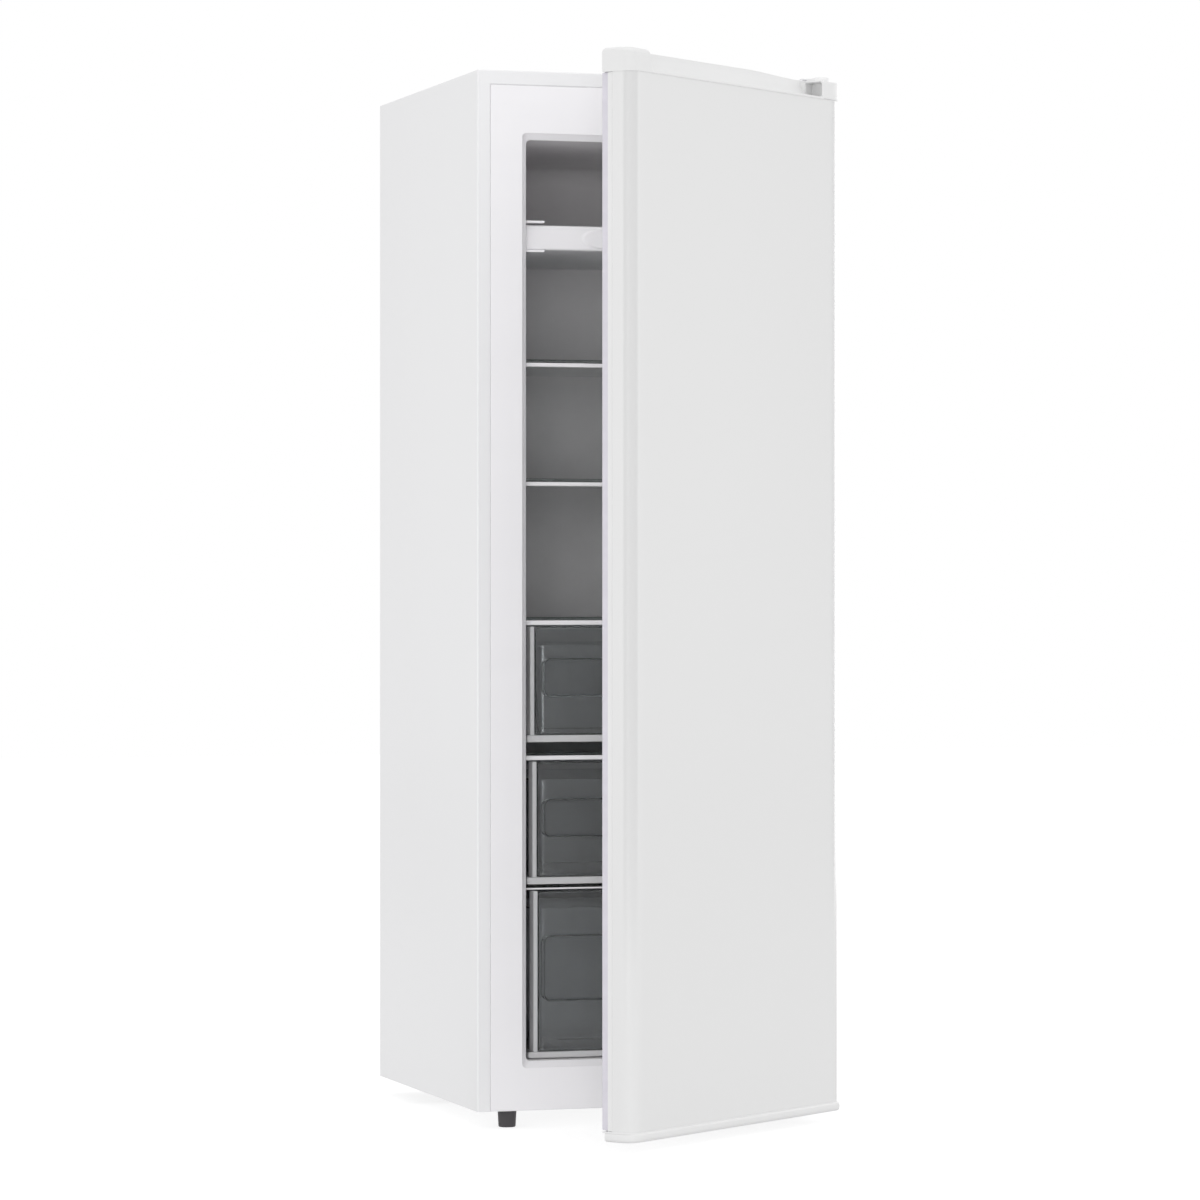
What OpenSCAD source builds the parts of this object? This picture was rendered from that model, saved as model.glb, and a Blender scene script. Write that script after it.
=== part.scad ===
// Upright freezer with a side-hung door, a shallow top tray, glass shelves and three clear drawers.
// Millimetres. X points right as seen from the front, Y to the back and Z up.
// The origin is on the floor, under the middle of the cabinet.
// Cabinet shapes are drawn with y = 0 on the cabinet's front and z = 0 on its underside.

/* [Cabinet] */
// Width of the cabinet
cab_w = 490; // [470:1:620]
// Depth of the cabinet without its door
cab_d = 510; // [490:1:640]
// Height of the cabinet without its feet
cab_h = 1400; // [1390:1:1700]
// Height of the feet below the cabinet
foot_h = 24; // [20:1:40]
// Thickness of the steel sheet
sheet_t = 0.8; // [0.6:0.1:1.2]
// Width of the steel strip folded round the front edge, at the sides
strip_w = 17; // [12:0.5:22]
// Height of the same strip along the top
strip_top = 18.5; // [12:0.5:24]
// Width of the steel fold round the back edge
rear_fold = 14; // [10:1:18]

/* [Insulated walls] */
// Thickness of a side wall, from the cabinet's side to the liner's inside
wall_side = 71; // [55:1:80]
// Thickness of the top wall
wall_top = 92; // [60:1:100]
// Thickness of the bottom wall
wall_bottom = 66; // [50:1:80]
// Thickness of the back wall
wall_back = 70; // [60:1:85]
// Thickness of the liner
liner_t = 2; // [1:0.5:3]
// Corner radius of the opening
inner_r = 6; // [4:1:24]

/* [Front frame] */
// Depth of the front frame
frame_d = 11; // [9:1:16]
// How far the frame's inner edge is bevelled
bevel = 9; // [4:1:12]
// Width of the groove between the steel strip and the frame
groove_w = 1.2; // [0.8:0.1:2]
// Depth of that groove
groove_d = 3; // [1.5:0.5:5]
// Gap below the frame
frame_foot = 3; // [2:0.5:6]

/* [Machine bay] */
// Distance from the cabinet's back to the step in the liner
hump_y = 210; // [190:1:230]
// Height of the step in the liner above the cabinet's underside
hump_z = 263; // [250:1:290]
// Thickness of the insulation over the machine bay
bay_wall = 48; // [40:1:52]
// Thickness of the base pan
pan_t = 1.2; // [1:0.1:2]
// Place of the compressor's centre across the cabinet
comp_x = 45; // [30:1:60]
// Radius of the compressor
comp_r = 60; // [50:1:62]
// Height of the compressor's shell
comp_h = 150; // [130:1:152]
// Height of the rubber grommets under the compressor
grommet_h = 10; // [8:1:12]

/* [Door] */
// Angle at which the door stands open
door_open = 37; // [0:1:120]
// Distance from the cabinet's front to the door's face
door_face = 55; // [50:1:70]
// Radius of the door's upright front edge on the free side
door_r = 18; // [10:0.5:20]
// Radius of the door's upright front edge on the hinge side
hinge_side_r = 6; // [4:0.5:12]
// Distance from the cabinet's front to the back of the door's steel skin
skin_back = 23; // [20:1:28]
// Distance from the cabinet's front to the sealing flange
seal_gap = 15; // [12:1:18]
// Bottom of the door's steel skin above the cabinet's underside
skin_z0 = 4; // [3.5:0.5:8]
// Height of the door's top cap
cap_h = 31.5; // [28:0.5:40]
// How far the door's top cap stays below the cabinet's top
cap_drop = 0.5; // [0.4:0.1:2]
// How far the caps stand proud of the skin
cap_proud = 1; // [0.5:0.1:2]
// Gap between the top cap and the cabinet's front
cap_gap = 8; // [6:1:12]
// Height of the lip in front of the finger scoop
lip_h = 3; // [2.5:0.5:8]
// Length of the raised block on the free side of the scoop
block_free = 42; // [30:1:60]
// Length of the lower block on the hinge side of the scoop
block_hinge = 41; // [38:1:50]
// How far the hinge-side block is lower than the free-side one
block_drop = 6.5; // [6:0.5:8]
// Radius along the front of the free-side block's top
block_r = 9; // [4:1:12]
// How far the scoop's back wall sinks towards the hinge
dip = 4; // [0:0.5:6]
// Height of the bottom cap's front bar
bar_h = 13.5; // [11:0.5:16]
// Thickness of the bottom cap's front bar
bar_t = 11; // [9:0.5:11]
// Distance from the door's edge to the raised field on its inside
field_inset = 80; // [76:1:90]
// How far that raised field reaches into the cabinet
field_in = 7; // [4:1:9]

/* [Hinges] */
// Distance of the hinge axis from the cabinet's side
hinge_in = 12; // [12:0.5:14]
// Distance of the hinge axis ahead of the cabinet's front
hinge_out = 34; // [33:0.5:36]
// Radius of the hinge pins
pin_r = 4; // [3:0.5:5]
// Radial running clearance of the pins in their bushings
pin_play = 0.05; // [0.02:0.01:0.09]
// Wall of the hinge bushings
bush_wall = 1.95; // [1.5:0.05:3]
// Thickness of the top hinge plate
plate_top_t = 2; // [1.5:0.5:3.5]
// Thickness of the bottom hinge plate
plate_low_t = 3; // [2.5:0.5:4]

/* [Shelves] */
// Height of the underside of each glass shelf above the cabinet's underside, from the top down
shelf_z = [1008.8, 847.5, 660, 476.8, 297.9];
// Height of each shelf's front trim
trim_h = [5.4, 5.5, 6.4, 6.1, 2.4];
// Thickness of the glass
pane_t = 4.5; // [3:0.5:5]
// Distance from the cabinet's front to the shelf trims
shelf_y = 28; // [20:1:36]
// Depth of the shelf trims
trim_d = 14; // [10:1:20]
// Gap between the shelves and the back of the liner
shelf_back_gap = 10; // [4:1:20]
// Gap at each end of the shelves
shelf_side_gap = 1; // [0.5:0.5:2]
// Width of the bars that carry the shelves
ledge_w = 10; // [6:1:12]
// Height of those bars
ledge_h = 6; // [4:1:8]

/* [Drawers] */
// Distance from the cabinet's front to the drawer fronts
drawer_y = 26; // [20:1:30]
// Free depth behind the drawers
drawer_play = 44; // [42:1:60]
// Distance of the upper drawer's underside above the shelf below it
drawer_1_z = 13.7; // [13:0.1:30]
// Running gap under the lower two drawers
drawer_gap = 0.3; // [0.2:0.1:0.6]
// Gap between a drawer and the shelf trim above it
drawer_head = 1.9; // [1.2:0.1:4]
// Height of the frosted band along a drawer's base
band_h = 9.5; // [7:0.5:12]
// Gap between the drawers' bases and the liner's sides
band_gap = 6; // [4:1:8]
// Distance from the liner's side to the clear front of each drawer, from the top down
front_gap = [10.6, 13.8, 15.2];
// Depth of a drawer's clear front
front_d = 20; // [16:1:26]
// Distance from the liner's side to a drawer's side wall
bin_gap = 24; // [18:1:30]
// Wall thickness of the drawers
bin_t = 2.5; // [2:0.5:3]
// How far the drawers' side walls stay below the fronts
bin_drop = 25; // [10:1:40]
// Height of the grip recess of each drawer, from the top down
grip_h = [48, 48, 85];
// How far each grip recess lies above the middle of its drawer
grip_up = [9, 6, 8.5];
// Distance from the side of each front to its grip recess
grip_inset = [21.4, 18.2, 16.8];
// Depth of the grip recesses
grip_d = 15; // [10:1:16]
// Corner radius of the grip recesses
grip_r = 8; // [4:1:12]
// Width of the ribs on the drawers' floors
rib_w = 26; // [15:1:30]
// Height of the ribs on the drawers' floors
rib_h = 5; // [3:1:8]

/* [Top tray] */
// Distance of the tray's underside below the liner's ceiling
tray_z = 146.7; // [110:0.1:160]
// Height of the tray
tray_h = 33.5; // [28:0.5:40]
// Length of the free space behind the tray
tray_l = 44; // [44:1:94]
// Wall thickness of the tray
tray_t = 2.5; // [2:0.5:3]
// Thickness of the tray's front
tray_front_t = 7; // [6:0.5:10]
// Half length of the oval grip
oval_half = 89; // [60:1:100]
// Half height of the oval grip
oval_rise = 14; // [10:0.5:14]
// Depth of the oval grip
oval_d = 4.5; // [4.2:0.1:5]
// Thickness of the rails beside the tray
rail_t = 3; // [2:0.5:4]
// How far the rails reach out from the liner
rail_reach = 29; // [20:1:34]
// Gap above the tray
tray_head = 2.6; // [1:0.1:4]

/* [Hidden] */
$fn = 48;

// Colours
enamel = "#e9e9eb";
white_plastic = "#ebeaec";
liner_grey = "#9b989a";
clear_plastic = "#b9c3c8";
glass_tint = "#c3d3d2";
steel = "#b9bcbf";
dark_plastic = "#4d4b4e";
black_rubber = "#2b2b2d";
foam_cream = "#e4dcbc";
copper = "#b87349";
gasket_white = "#d9d7dd";

// Overshoot of cutting shapes
cut = 1;
// Thickness of the thin slices that a blended shape runs between
slice = 0.01;
half_w = cab_w/2;

// Insides of the shell and of the liner
shell_half = half_w - sheet_t;
inner_half = half_w - wall_side;
floor_z = wall_bottom;
ceil_z = cab_h - wall_top;
inner_back = cab_d - wall_back;
foam_gap = 0.2;

// The back panel and the rear cover lie against the inside of the rear fold
panel_y = cab_d - 2*sheet_t;
panel_gap = 0.2;

// Machine bay
step_y = cab_d - hump_y;
bay_y = step_y + liner_t + bay_wall;
bay_top = hump_z - liner_t - bay_wall;
comp_y = (bay_y + panel_y)/2;
base_t = 2;
base_flange = 12;
base_front_gap = 20;
comp_foot_t = 3;
comp_foot_z = base_t + grommet_h;
comp_z = comp_foot_z + comp_foot_t;
comp_top = comp_z + comp_h;
comp_edge_r = 34;
comp_bolt_x = 80;
comp_bolt_y = 46;
bolt_r = 3;
bolt_play = 0.4;
bolt_head_h = 4;
bolt_head_r = 5.5;
grommet_r = 10;
pad_half = 10;
strap_half = 20;
relay_out = 36;
relay_in = 12;
relay_half = 24;
relay_z = [41, 70];

// Tubes of the cooling circuit
tube_r = 2.4;
suction_r = 3.2;
evap_r = 4;
elbow = 1.08;
tube_gap = 0.3;
channel = 0.6;
coil_x = -(shell_half - tube_r - tube_gap);
coil_end_z = bay_top - 20;
cond_runs = 8;
cond_y0 = 60;
cond_low_gap = 57;
cond_top_gap = 110;
cond_z = [hump_z + cond_low_gap, cab_h - cond_top_gap];
return_low_gap = 7;
return_back_gap = 25;
cond_return_z = hump_z + return_low_gap;
cond_return_y = bay_y + return_back_gap;
cond_back_gap = 60;
cond_pitch = (bay_y + cond_back_gap - cond_y0)/(cond_runs - 1);
evap_y = inner_back + liner_t + evap_r + tube_gap;
evap_runs = 14;
evap_half = 130;
evap_low_gap = 67;
evap_top_gap = 60;
evap_z0 = hump_z + evap_low_gap;
evap_pitch = (ceil_z - evap_top_gap - evap_z0)/(evap_runs - 1);
evap_down_x = -145;
evap_return_x = -160;
drier_in = 20;
drier_x = -(shell_half - drier_in);
drier_r = 9;
drier_z = [60, 150];
drier_pipe = 15;
capillary_drop = 20;
discharge_rise = 14;
discharge_in = 15;
suction_rise = 22;
suction_in = 10;

// Thermostat cup and the vents of the rear cover
stat_x = 170;
stat_z = 160;
stat_half = 24;
stat_d = 42;
cup_r = 18;
cup_d = 14;
knob_r = 15;
knob_gap = 0.5;
shaft_r = 3;
shaft_l = 12;
vent_rows = 7;
vent_w = 110;
vent_h = 4;
vent_pitch = 16;
gland_x = -200;
gland_z = 45;
gland_hole_r = 7;
gland_bore_r = 4;
gland_flange_r = 10;
gland_flange_t = 2;
gland_l = 16;

// Feet
foot_in = 50;
foot_y = 30;
foot_top_r = 12.9;
foot_low_r = 11.6;
foot_hex_h = 1.6;
stud_r = 4;
stud_h = 18;
stud_play = 0.05;
boss_r = 9;
boss_h = 20;
foot_play = 0.3;
rear_foot_x = 150;
rear_foot_y = cab_d - 50;

// Screws of the panels and the hinges
screw_r = 2;
screw_head_r = 4;
screw_head_h = 2;
screw_play = 0.2;
panel_screw_x = shell_half - rear_fold/2;
panel_screw_z = [30, bay_top - 15, bay_top + 30, (bay_top + cab_h)/2, cab_h - 60];
hinge_screw_r = 2.5;
hinge_head_r = 5;
hinge_head_h = 2.5;

// Hinges, in closed-door coordinates
hinge_x = half_w - hinge_in;
hinge_y = -hinge_out;
hinge_end_r = 9;
plate_w = [31, 24];
plate_y = [4, 58];
plate_edge = 2;
// The top plate steps down in front of the cabinet, to an arm at this height
arm_drop = 3;
arm_z = cab_h - arm_drop;
crank_gap = 2;
crank_y = -crank_gap - plate_top_t;
// The cover clips over the arm
cover_r = [12.5, 11];
cover_half = 11.5;
cover_t = 2;
cover_wall = 1.5;
cover_gap = 0.6;
bush_r = pin_r + pin_play + bush_wall;
bush_flange_r = 9;
bush_flange_t = 2;
bush_l = 18;
bush_lift = 0.3;
pin_short = 2;
pin_collar_r = 7;
door_boss_r = 10;
boss_wall = 2;

// Door levels
cap_z1 = cab_h - cap_drop;
cap_z0 = cap_z1 - cap_h;
dip_l = 130;
dip_steps = 10;
bar_r = 5.2;
pocket_wall = [2.5, 10.3, 1.6];
cap_low_t = 2;
cap_low_z = skin_z0 - cap_low_t;
block_z = cap_z1 - block_drop;
lip_t = 2.5;
lip_ridge = 1.5;
scoop_r = cap_h - lip_h + lip_ridge;
scoop_back = cap_gap + 8.5;
skin_return = 10;
flange_t = 2;
door_edge = 1;
field_r = 14;
pan_inset = field_inset + 30;
pan_r = 10;
pan_d = 5;
seal_out = 10;
seal_w = 22;
seal_foot_t = 3;
seal_foot_w = 31;
seal_lip = 3;
seal_lip_t = 2.5;
seal_lip_free = 4;
seal_free = 0.5;
magnet_in = 5;
magnet_w = 8;
magnet_t = 3;
magnet_y = 1.5;
magnet_play = 0.2;

// Drawers
front_half = [for (gap = front_gap) inner_half - gap];
band_half = inner_half - band_gap;
bin_half = inner_half - bin_gap;
drawer_z = [shelf_z[3] + pane_t + drawer_1_z, shelf_z[4] + pane_t + drawer_gap, floor_z + drawer_gap];
drawer_top = [for (i = [0:2]) shelf_z[i + 2] - trim_h[i + 2] - drawer_head];
drawer_l = [for (back = [inner_back, inner_back, step_y]) back - drawer_play - drawer_y];
rib_x = [rib_w*3.2, rib_w*5.2];
rail_y = 100;
rail_h = 8;
rail_gap = 0.3;
tray_half = inner_half - rail_t - 1;
tray_low_gap = 0.3;
tray_low = ceil_z - tray_z;
tray_back = inner_back - tray_l;

// Basic shapes

module block(x, y, z)
  translate([x[0], y[0], z[0]])
    cube([x[1] - x[0], y[1] - y[0], z[1] - z[0]]);

// An outline in X and Z, carried back from y over a depth
module pushed_back(y, depth)
  translate([0, y, 0]) mirror([0, 1, 0]) rotate([90, 0, 0])
    linear_extrude(height = depth) children();

// An outline in Y and Z, carried along X from x over a length
module along_x(x, length)
  translate([x, 0, 0]) rotate([90, 0, 90])
    linear_extrude(height = length) children();

// A rounded rectangle centred on X
module window(half, z, r) {
  translate([-half + r, z[0]]) square([2*(half - r), z[1] - z[0]]);
  translate([-half, z[0] + r]) square([2*half, z[1] - z[0] - 2*r]);
  for (side = [-1, 1], centre_z = [z[0] + r, z[1] - r])
    translate([side*(half - r), centre_z]) circle(r = r);
}

// A rounded rectangle between two corners
module rounded(a, b, r) {
  translate([a[0] + r, a[1]]) square([b[0] - a[0] - 2*r, b[1] - a[1]]);
  translate([a[0], a[1] + r]) square([b[0] - a[0], b[1] - a[1] - 2*r]);
  for (u = [a[0] + r, b[0] - r], v = [a[1] + r, b[1] - r])
    translate([u, v]) circle(r = r);
}

// A window whose sides lean in by lean over depth, widest at y = 0, with equal corners all the way
module leaning_window(half, z, r, lean, depth) hull()
  for (y = [-cut, depth + cut]) {
    out = lean*(1 - y/depth);
    pushed_back(y, slice) window(half + out, [z[0] - out, z[1] + out], r, $fn = 32);
  }

module rod(a, b, r) {
  v = b - a;
  translate(a) rotate([0, acos(v[2]/norm(v)), atan2(v[1], v[0])]) cylinder(h = norm(v), r = r, $fn = 24);
}

// A tube through points, with a slightly fuller ball at each bend
module tube(points, r) {
  last = len(points) - 1;
  for (i = [0:last - 1]) rod(points[i], points[i + 1], r);
  for (i = [1:last - 1]) translate(points[i]) sphere(r = r*elbow, $fn = 24);
}

// Square channels that hold a tube of upright and level runs
module channels(points, r)
  for (i = [0:len(points) - 2]) {
    low = [for (k = [0:2]) min(points[i][k], points[i + 1][k]) - r];
    high = [for (k = [0:2]) max(points[i][k], points[i + 1][k]) + r];
    translate(low) cube(high - low);
  }

// Lifts a shape drawn on the cabinet onto its feet, with the origin under the cabinet's middle
module on_feet() translate([0, -cab_d/2, foot_h]) children();

// Swings a shape drawn on the closed door to where the door stands
module hung()
  on_feet() translate([hinge_x, hinge_y, 0]) rotate([0, 0, door_open]) translate([-hinge_x, -hinge_y, 0])
    children();

// Cabinet

module panel_screw_spots()
  for (side = [-1, 1], z = panel_screw_z)
    translate([side*panel_screw_x, 0, z]) rotate([-90, 0, 0]) children();

module top_screw_spots()
  for (spot = [[-4, 22], [4, 36], [-4, 50]])
    translate([half_w - plate_edge - plate_w[1]/2 + spot[0], spot[1], 0]) children();

module low_screw_spots()
  for (spot = [[-7, 16], [7, 16], [7, 42]])
    translate([half_w - plate_edge - plate_w[0]/2 + spot[0], spot[1], 0]) children();

module outer_shell() color(enamel) on_feet() difference() {
  block([-half_w, half_w], [0, cab_d], [0, cab_h]);
  block([-shell_half, shell_half], [sheet_t, cab_d - sheet_t], [-cut, cab_h - sheet_t]);
  block([-half_w + strip_w, half_w - strip_w], [-cut, sheet_t + cut], [-cut, cab_h - strip_top]);
  block([-half_w + rear_fold, half_w - rear_fold], [cab_d - sheet_t - cut, cab_d + cut],
    [-cut, cab_h - rear_fold]);
  panel_screw_spots() translate([0, 0, panel_y]) cylinder(r = screw_r + screw_play, h = 4*sheet_t);
  top_screw_spots() translate([0, 0, cab_h - 2*sheet_t])
    cylinder(r = hinge_screw_r + screw_play, h = 4*sheet_t);
}

module front_frame() color(white_plastic) on_feet() {
  face_half = half_w - strip_w - groove_w;
  difference() {
    union() {
      block([-face_half, face_half], [0, frame_d], [frame_foot, cab_h - strip_top - groove_w]);
      block([-shell_half, shell_half], [groove_d, frame_d], [frame_foot, cab_h - sheet_t]);
    }
    leaning_window(inner_half, [floor_z, ceil_z], inner_r, bevel, frame_d);
  }
}

// The room inside the liner, grown by g on every side but the front
module liner_room(g, front)
  pushed_back(front, inner_back + g - front)
    window(inner_half + g, [floor_z - g, ceil_z + g], inner_r + g);

// The liner's outside, grown by g
module liner_block(g) difference() {
  liner_room(liner_t + g, frame_d);
  block([-half_w, half_w], [step_y + liner_t + g, cab_d], [-cut, hump_z - liner_t - g]);
}

module inner_liner() color(liner_grey) on_feet() {
  difference() {
    liner_block(0);
    difference() {
      liner_room(0, frame_d - cut);
      block([-half_w, half_w], [step_y, cab_d], [-cut, hump_z]);
    }
  }
}

cond_points = concat(
  [[coil_x, cond_return_y, coil_end_z], [coil_x, cond_return_y, cond_return_z],
   [coil_x, cond_y0, cond_return_z]],
  [for (i = [0:cond_runs - 1], end = [0, 1])
    let (up = (i % 2 == 0) ? end : 1 - end)
    if (i > 0 || end == 1)
    if (i < cond_runs - 1 || end == 0) [coil_x, cond_y0 + i*cond_pitch, cond_z[up]]],
  [[coil_x, cond_y0 + (cond_runs - 1)*cond_pitch, coil_end_z]]);

evap_points = concat(
  [[evap_down_x, evap_y, coil_end_z]],
  [for (i = [0:evap_runs - 1], end = [0, 1])
    let (right = (i % 2 == 0) ? end : 1 - end,
         left_x = (i == 0) ? evap_down_x : (i == evap_runs - 1) ? evap_return_x : -evap_half)
    [right == 1 ? evap_half : left_x, evap_y, evap_z0 + i*evap_pitch]],
  [[evap_return_x, evap_y, coil_end_z]]);

module condenser_coil() color(copper) on_feet() tube(cond_points, tube_r);

module evaporator_coil() color(steel) on_feet() tube(evap_points, evap_r);

module cabinet_insulation() color(foam_cream) on_feet() difference() {
  block([-shell_half, shell_half], [frame_d, panel_y], [pan_t, cab_h - sheet_t]);
  liner_block(foam_gap);
  liner_room(0, frame_d - cut);
  block([-half_w, half_w], [bay_y - sheet_t, cab_d], [-cut, bay_top + sheet_t]);
  channels(cond_points, tube_r*elbow + channel);
  channels(evap_points, evap_r*elbow + channel);
  for (side = [-1, 1]) translate([side*(half_w - foot_in), foot_y, 0])
    cylinder(r = boss_r + foam_gap, h = boss_h + foam_gap);
}

module back_panel() color(steel) on_feet() difference() {
  edge = shell_half - panel_gap;
  block([-edge, edge], [panel_y, cab_d - sheet_t], [bay_top + sheet_t, cab_h - sheet_t - panel_gap]);
  panel_screw_spots() translate([0, 0, panel_y - cut]) cylinder(r = screw_r + screw_play, h = 4*sheet_t);
}

module base_pan() color(enamel) on_feet() difference() {
  union() {
    block([-shell_half, shell_half], [sheet_t, bay_y], [0, pan_t]);
    for (side = [-1, 1]) translate([side*(half_w - foot_in), foot_y, 0]) cylinder(r = boss_r, h = boss_h);
  }
  for (side = [-1, 1]) translate([side*(half_w - foot_in), foot_y, -cut])
    cylinder(r = stud_r + stud_play, h = boss_h + 2*cut);
  low_screw_spots() translate([0, 0, -cut]) cylinder(r = hinge_screw_r + screw_play, h = 4*pan_t);
}

module bay_lining() color(steel) on_feet() difference() {
  union() {
    block([-shell_half, shell_half], [bay_y - sheet_t, bay_y], [pan_t, bay_top + sheet_t]);
    block([-shell_half, shell_half], [bay_y - sheet_t, panel_y], [bay_top, bay_top + sheet_t]);
  }
  for (end = [cond_points[0], cond_points[len(cond_points) - 1], evap_points[0],
              evap_points[len(evap_points) - 1]])
    translate([end[0], end[1], bay_top - cut]) cylinder(r = evap_r + channel, h = 4*sheet_t);
}

module rear_cover() color(steel) on_feet() difference() {
  edge = shell_half - panel_gap;
  block([-edge, edge], [panel_y, cab_d - sheet_t], [panel_gap, bay_top - panel_gap]);
  for (side = [-1, 1], row = [0:vent_rows - 1])
    translate([side*vent_w/2 - 20*side - vent_w/2 + side*8, panel_y - cut, 60 + row*vent_pitch])
      cube([vent_w - 20, 4*sheet_t, vent_h]);
  translate([stat_x, panel_y - cut, stat_z]) rotate([-90, 0, 0]) cylinder(r = cup_r, h = 4*sheet_t);
  translate([gland_x, panel_y - cut, gland_z]) rotate([-90, 0, 0])
    cylinder(r = gland_hole_r + foam_gap, h = 4*sheet_t);
  panel_screw_spots() translate([0, 0, panel_y - cut]) cylinder(r = screw_r + screw_play, h = 4*sheet_t);
}

module panel_screws() color(steel) on_feet() panel_screw_spots() {
  translate([0, 0, panel_y]) cylinder(r = screw_r, h = cab_d - panel_y);
  translate([0, 0, cab_d]) cylinder(r = screw_head_r, h = screw_head_h);
}

// Machine bay

module comp_bolt_spots()
  for (x = [-comp_bolt_x, comp_bolt_x], y = [-comp_bolt_y, comp_bolt_y])
    translate([comp_x + x, comp_y + y, 0]) children();

module compressor_base() color(steel) on_feet() difference() {
  edge = shell_half - panel_gap;
  y = [bay_y + base_front_gap, panel_y - panel_gap];
  union() {
    block([-edge, edge], y, [0, base_t]);
    block([-edge, edge], [y[0], y[0] + base_t], [0, base_flange]);
    block([-edge, edge], [y[1] - base_t, y[1]], [0, base_flange]);
  }
  comp_bolt_spots() translate([0, 0, -cut]) cylinder(r = bolt_r + bolt_play, h = base_t + 2*cut);
}

module compressor() color(dark_plastic) on_feet() {
  translate([comp_x, comp_y, 0]) rotate_extrude() intersection() {
    rounded([-comp_r, comp_z], [comp_r, comp_top], comp_edge_r);
    translate([0, comp_z]) square([comp_r, comp_h]);
  }
  translate([comp_x, comp_y, (comp_z + comp_top)/2]) cylinder(r = comp_r + 2.5, h = 5);
  difference() {
    union() {
      for (y = [-comp_bolt_y, comp_bolt_y])
        block([comp_x - comp_bolt_x - pad_half, comp_x + comp_bolt_x + pad_half],
          [comp_y + y - pad_half, comp_y + y + pad_half], [comp_foot_z, comp_z]);
      block([comp_x - strap_half, comp_x + strap_half], [comp_y - comp_bolt_y, comp_y + comp_bolt_y],
        [comp_foot_z, comp_z + comp_foot_t]);
    }
    comp_bolt_spots() translate([0, 0, comp_foot_z - cut])
      cylinder(r = bolt_r + bolt_play, h = comp_foot_t + 2*cut);
  }
}

module compressor_grommets() color(black_rubber) on_feet() comp_bolt_spots()
  translate([0, 0, base_t]) difference() {
    cylinder(r = grommet_r, h = grommet_h);
    translate([0, 0, -cut]) cylinder(r = bolt_r + bolt_play, h = grommet_h + 2*cut);
  }

module compressor_bolts() color(steel) on_feet() comp_bolt_spots() {
  translate([0, 0, -bolt_head_h]) cylinder(r = bolt_head_r, h = bolt_head_h, $fn = 6);
  translate([0, 0, -bolt_head_h]) cylinder(r = bolt_r, h = bolt_head_h + comp_z + bolt_head_h);
  translate([0, 0, comp_z]) cylinder(r = bolt_head_r, h = bolt_head_h, $fn = 6);
}

module relay_cover() color(dark_plastic) on_feet() difference() {
  x = comp_x - comp_r;
  block([x - relay_out, x + relay_in], [comp_y - relay_half, comp_y + relay_half],
    [comp_z + relay_z[0], comp_z + relay_z[1]]);
  translate([comp_x, comp_y, comp_z]) cylinder(r = comp_r + tube_gap, h = comp_h);
}

module discharge_tube() color(copper) on_feet() {
  y = cond_points[len(cond_points) - 1][1];
  x = comp_x - discharge_in;
  z = comp_top + discharge_rise;
  tube([[x, y, comp_top], [x, y, z], [coil_x, y, z], [coil_x, y, coil_end_z]], tube_r);
}

module suction_tube() color(copper) on_feet() {
  x = comp_x + suction_in;
  z = comp_top + suction_rise;
  tube([[evap_down_x, evap_y, coil_end_z], [evap_down_x, evap_y, z], [x, evap_y, z],
    [x, comp_y, z], [x, comp_y, comp_top]], suction_r);
}

// The drier hangs in the liquid line, with the thin capillary tube below it
module filter_drier() color(copper) on_feet() {
  high = drier_z[1] + drier_pipe;
  low = drier_z[0] - capillary_drop;
  tube([[coil_x, cond_return_y, coil_end_z], [coil_x, cond_return_y, high],
    [drier_x, cond_return_y, high], [drier_x, cond_return_y, drier_z[1]]], tube_r);
  translate([drier_x, cond_return_y, drier_z[0]]) cylinder(r = drier_r, h = drier_z[1] - drier_z[0]);
  tube([[drier_x, cond_return_y, drier_z[0]], [drier_x, cond_return_y, low],
    [evap_return_x, cond_return_y, low], [evap_return_x, evap_y, low],
    [evap_return_x, evap_y, coil_end_z]], tube_r);
}

module thermostat() color(white_plastic) on_feet() translate([stat_x, 0, stat_z]) difference() {
  block([-stat_half, stat_half], [panel_y - stat_d, panel_y], [-stat_half, stat_half]);
  translate([0, panel_y - cup_d, 0]) rotate([-90, 0, 0]) cylinder(r = cup_r, h = cup_d + cut);
  translate([0, panel_y - cup_d - shaft_l - cut, 0]) rotate([-90, 0, 0])
    cylinder(r = shaft_r + stud_play, h = shaft_l + 2*cut);
}

module thermostat_knob() color(white_plastic) on_feet() translate([stat_x, 0, stat_z]) difference() {
  union() {
    translate([0, panel_y - cup_d - shaft_l, 0]) rotate([-90, 0, 0])
      cylinder(r = shaft_r, h = shaft_l + 2*knob_gap);
    translate([0, panel_y - cup_d + knob_gap, 0]) rotate([-90, 0, 0])
      cylinder(r = knob_r, h = cup_d - 2*knob_gap);
  }
  block([-1.5, 1.5], [panel_y - 4, panel_y + cut], [2, knob_r + cut]);
}

module cord_gland() color(dark_plastic) on_feet() translate([gland_x, 0, gland_z]) difference() {
  union() {
    translate([0, cab_d - sheet_t + gland_flange_t - gland_l, 0]) rotate([-90, 0, 0])
      cylinder(r = gland_hole_r, h = gland_l);
    translate([0, cab_d - sheet_t, 0]) rotate([-90, 0, 0])
      cylinder(r = gland_flange_r, h = gland_flange_t);
  }
  translate([0, cab_d - gland_l - 2*cut, 0]) rotate([-90, 0, 0])
    cylinder(r = gland_bore_r, h = gland_l + 4*cut);
}

// Feet

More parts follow.
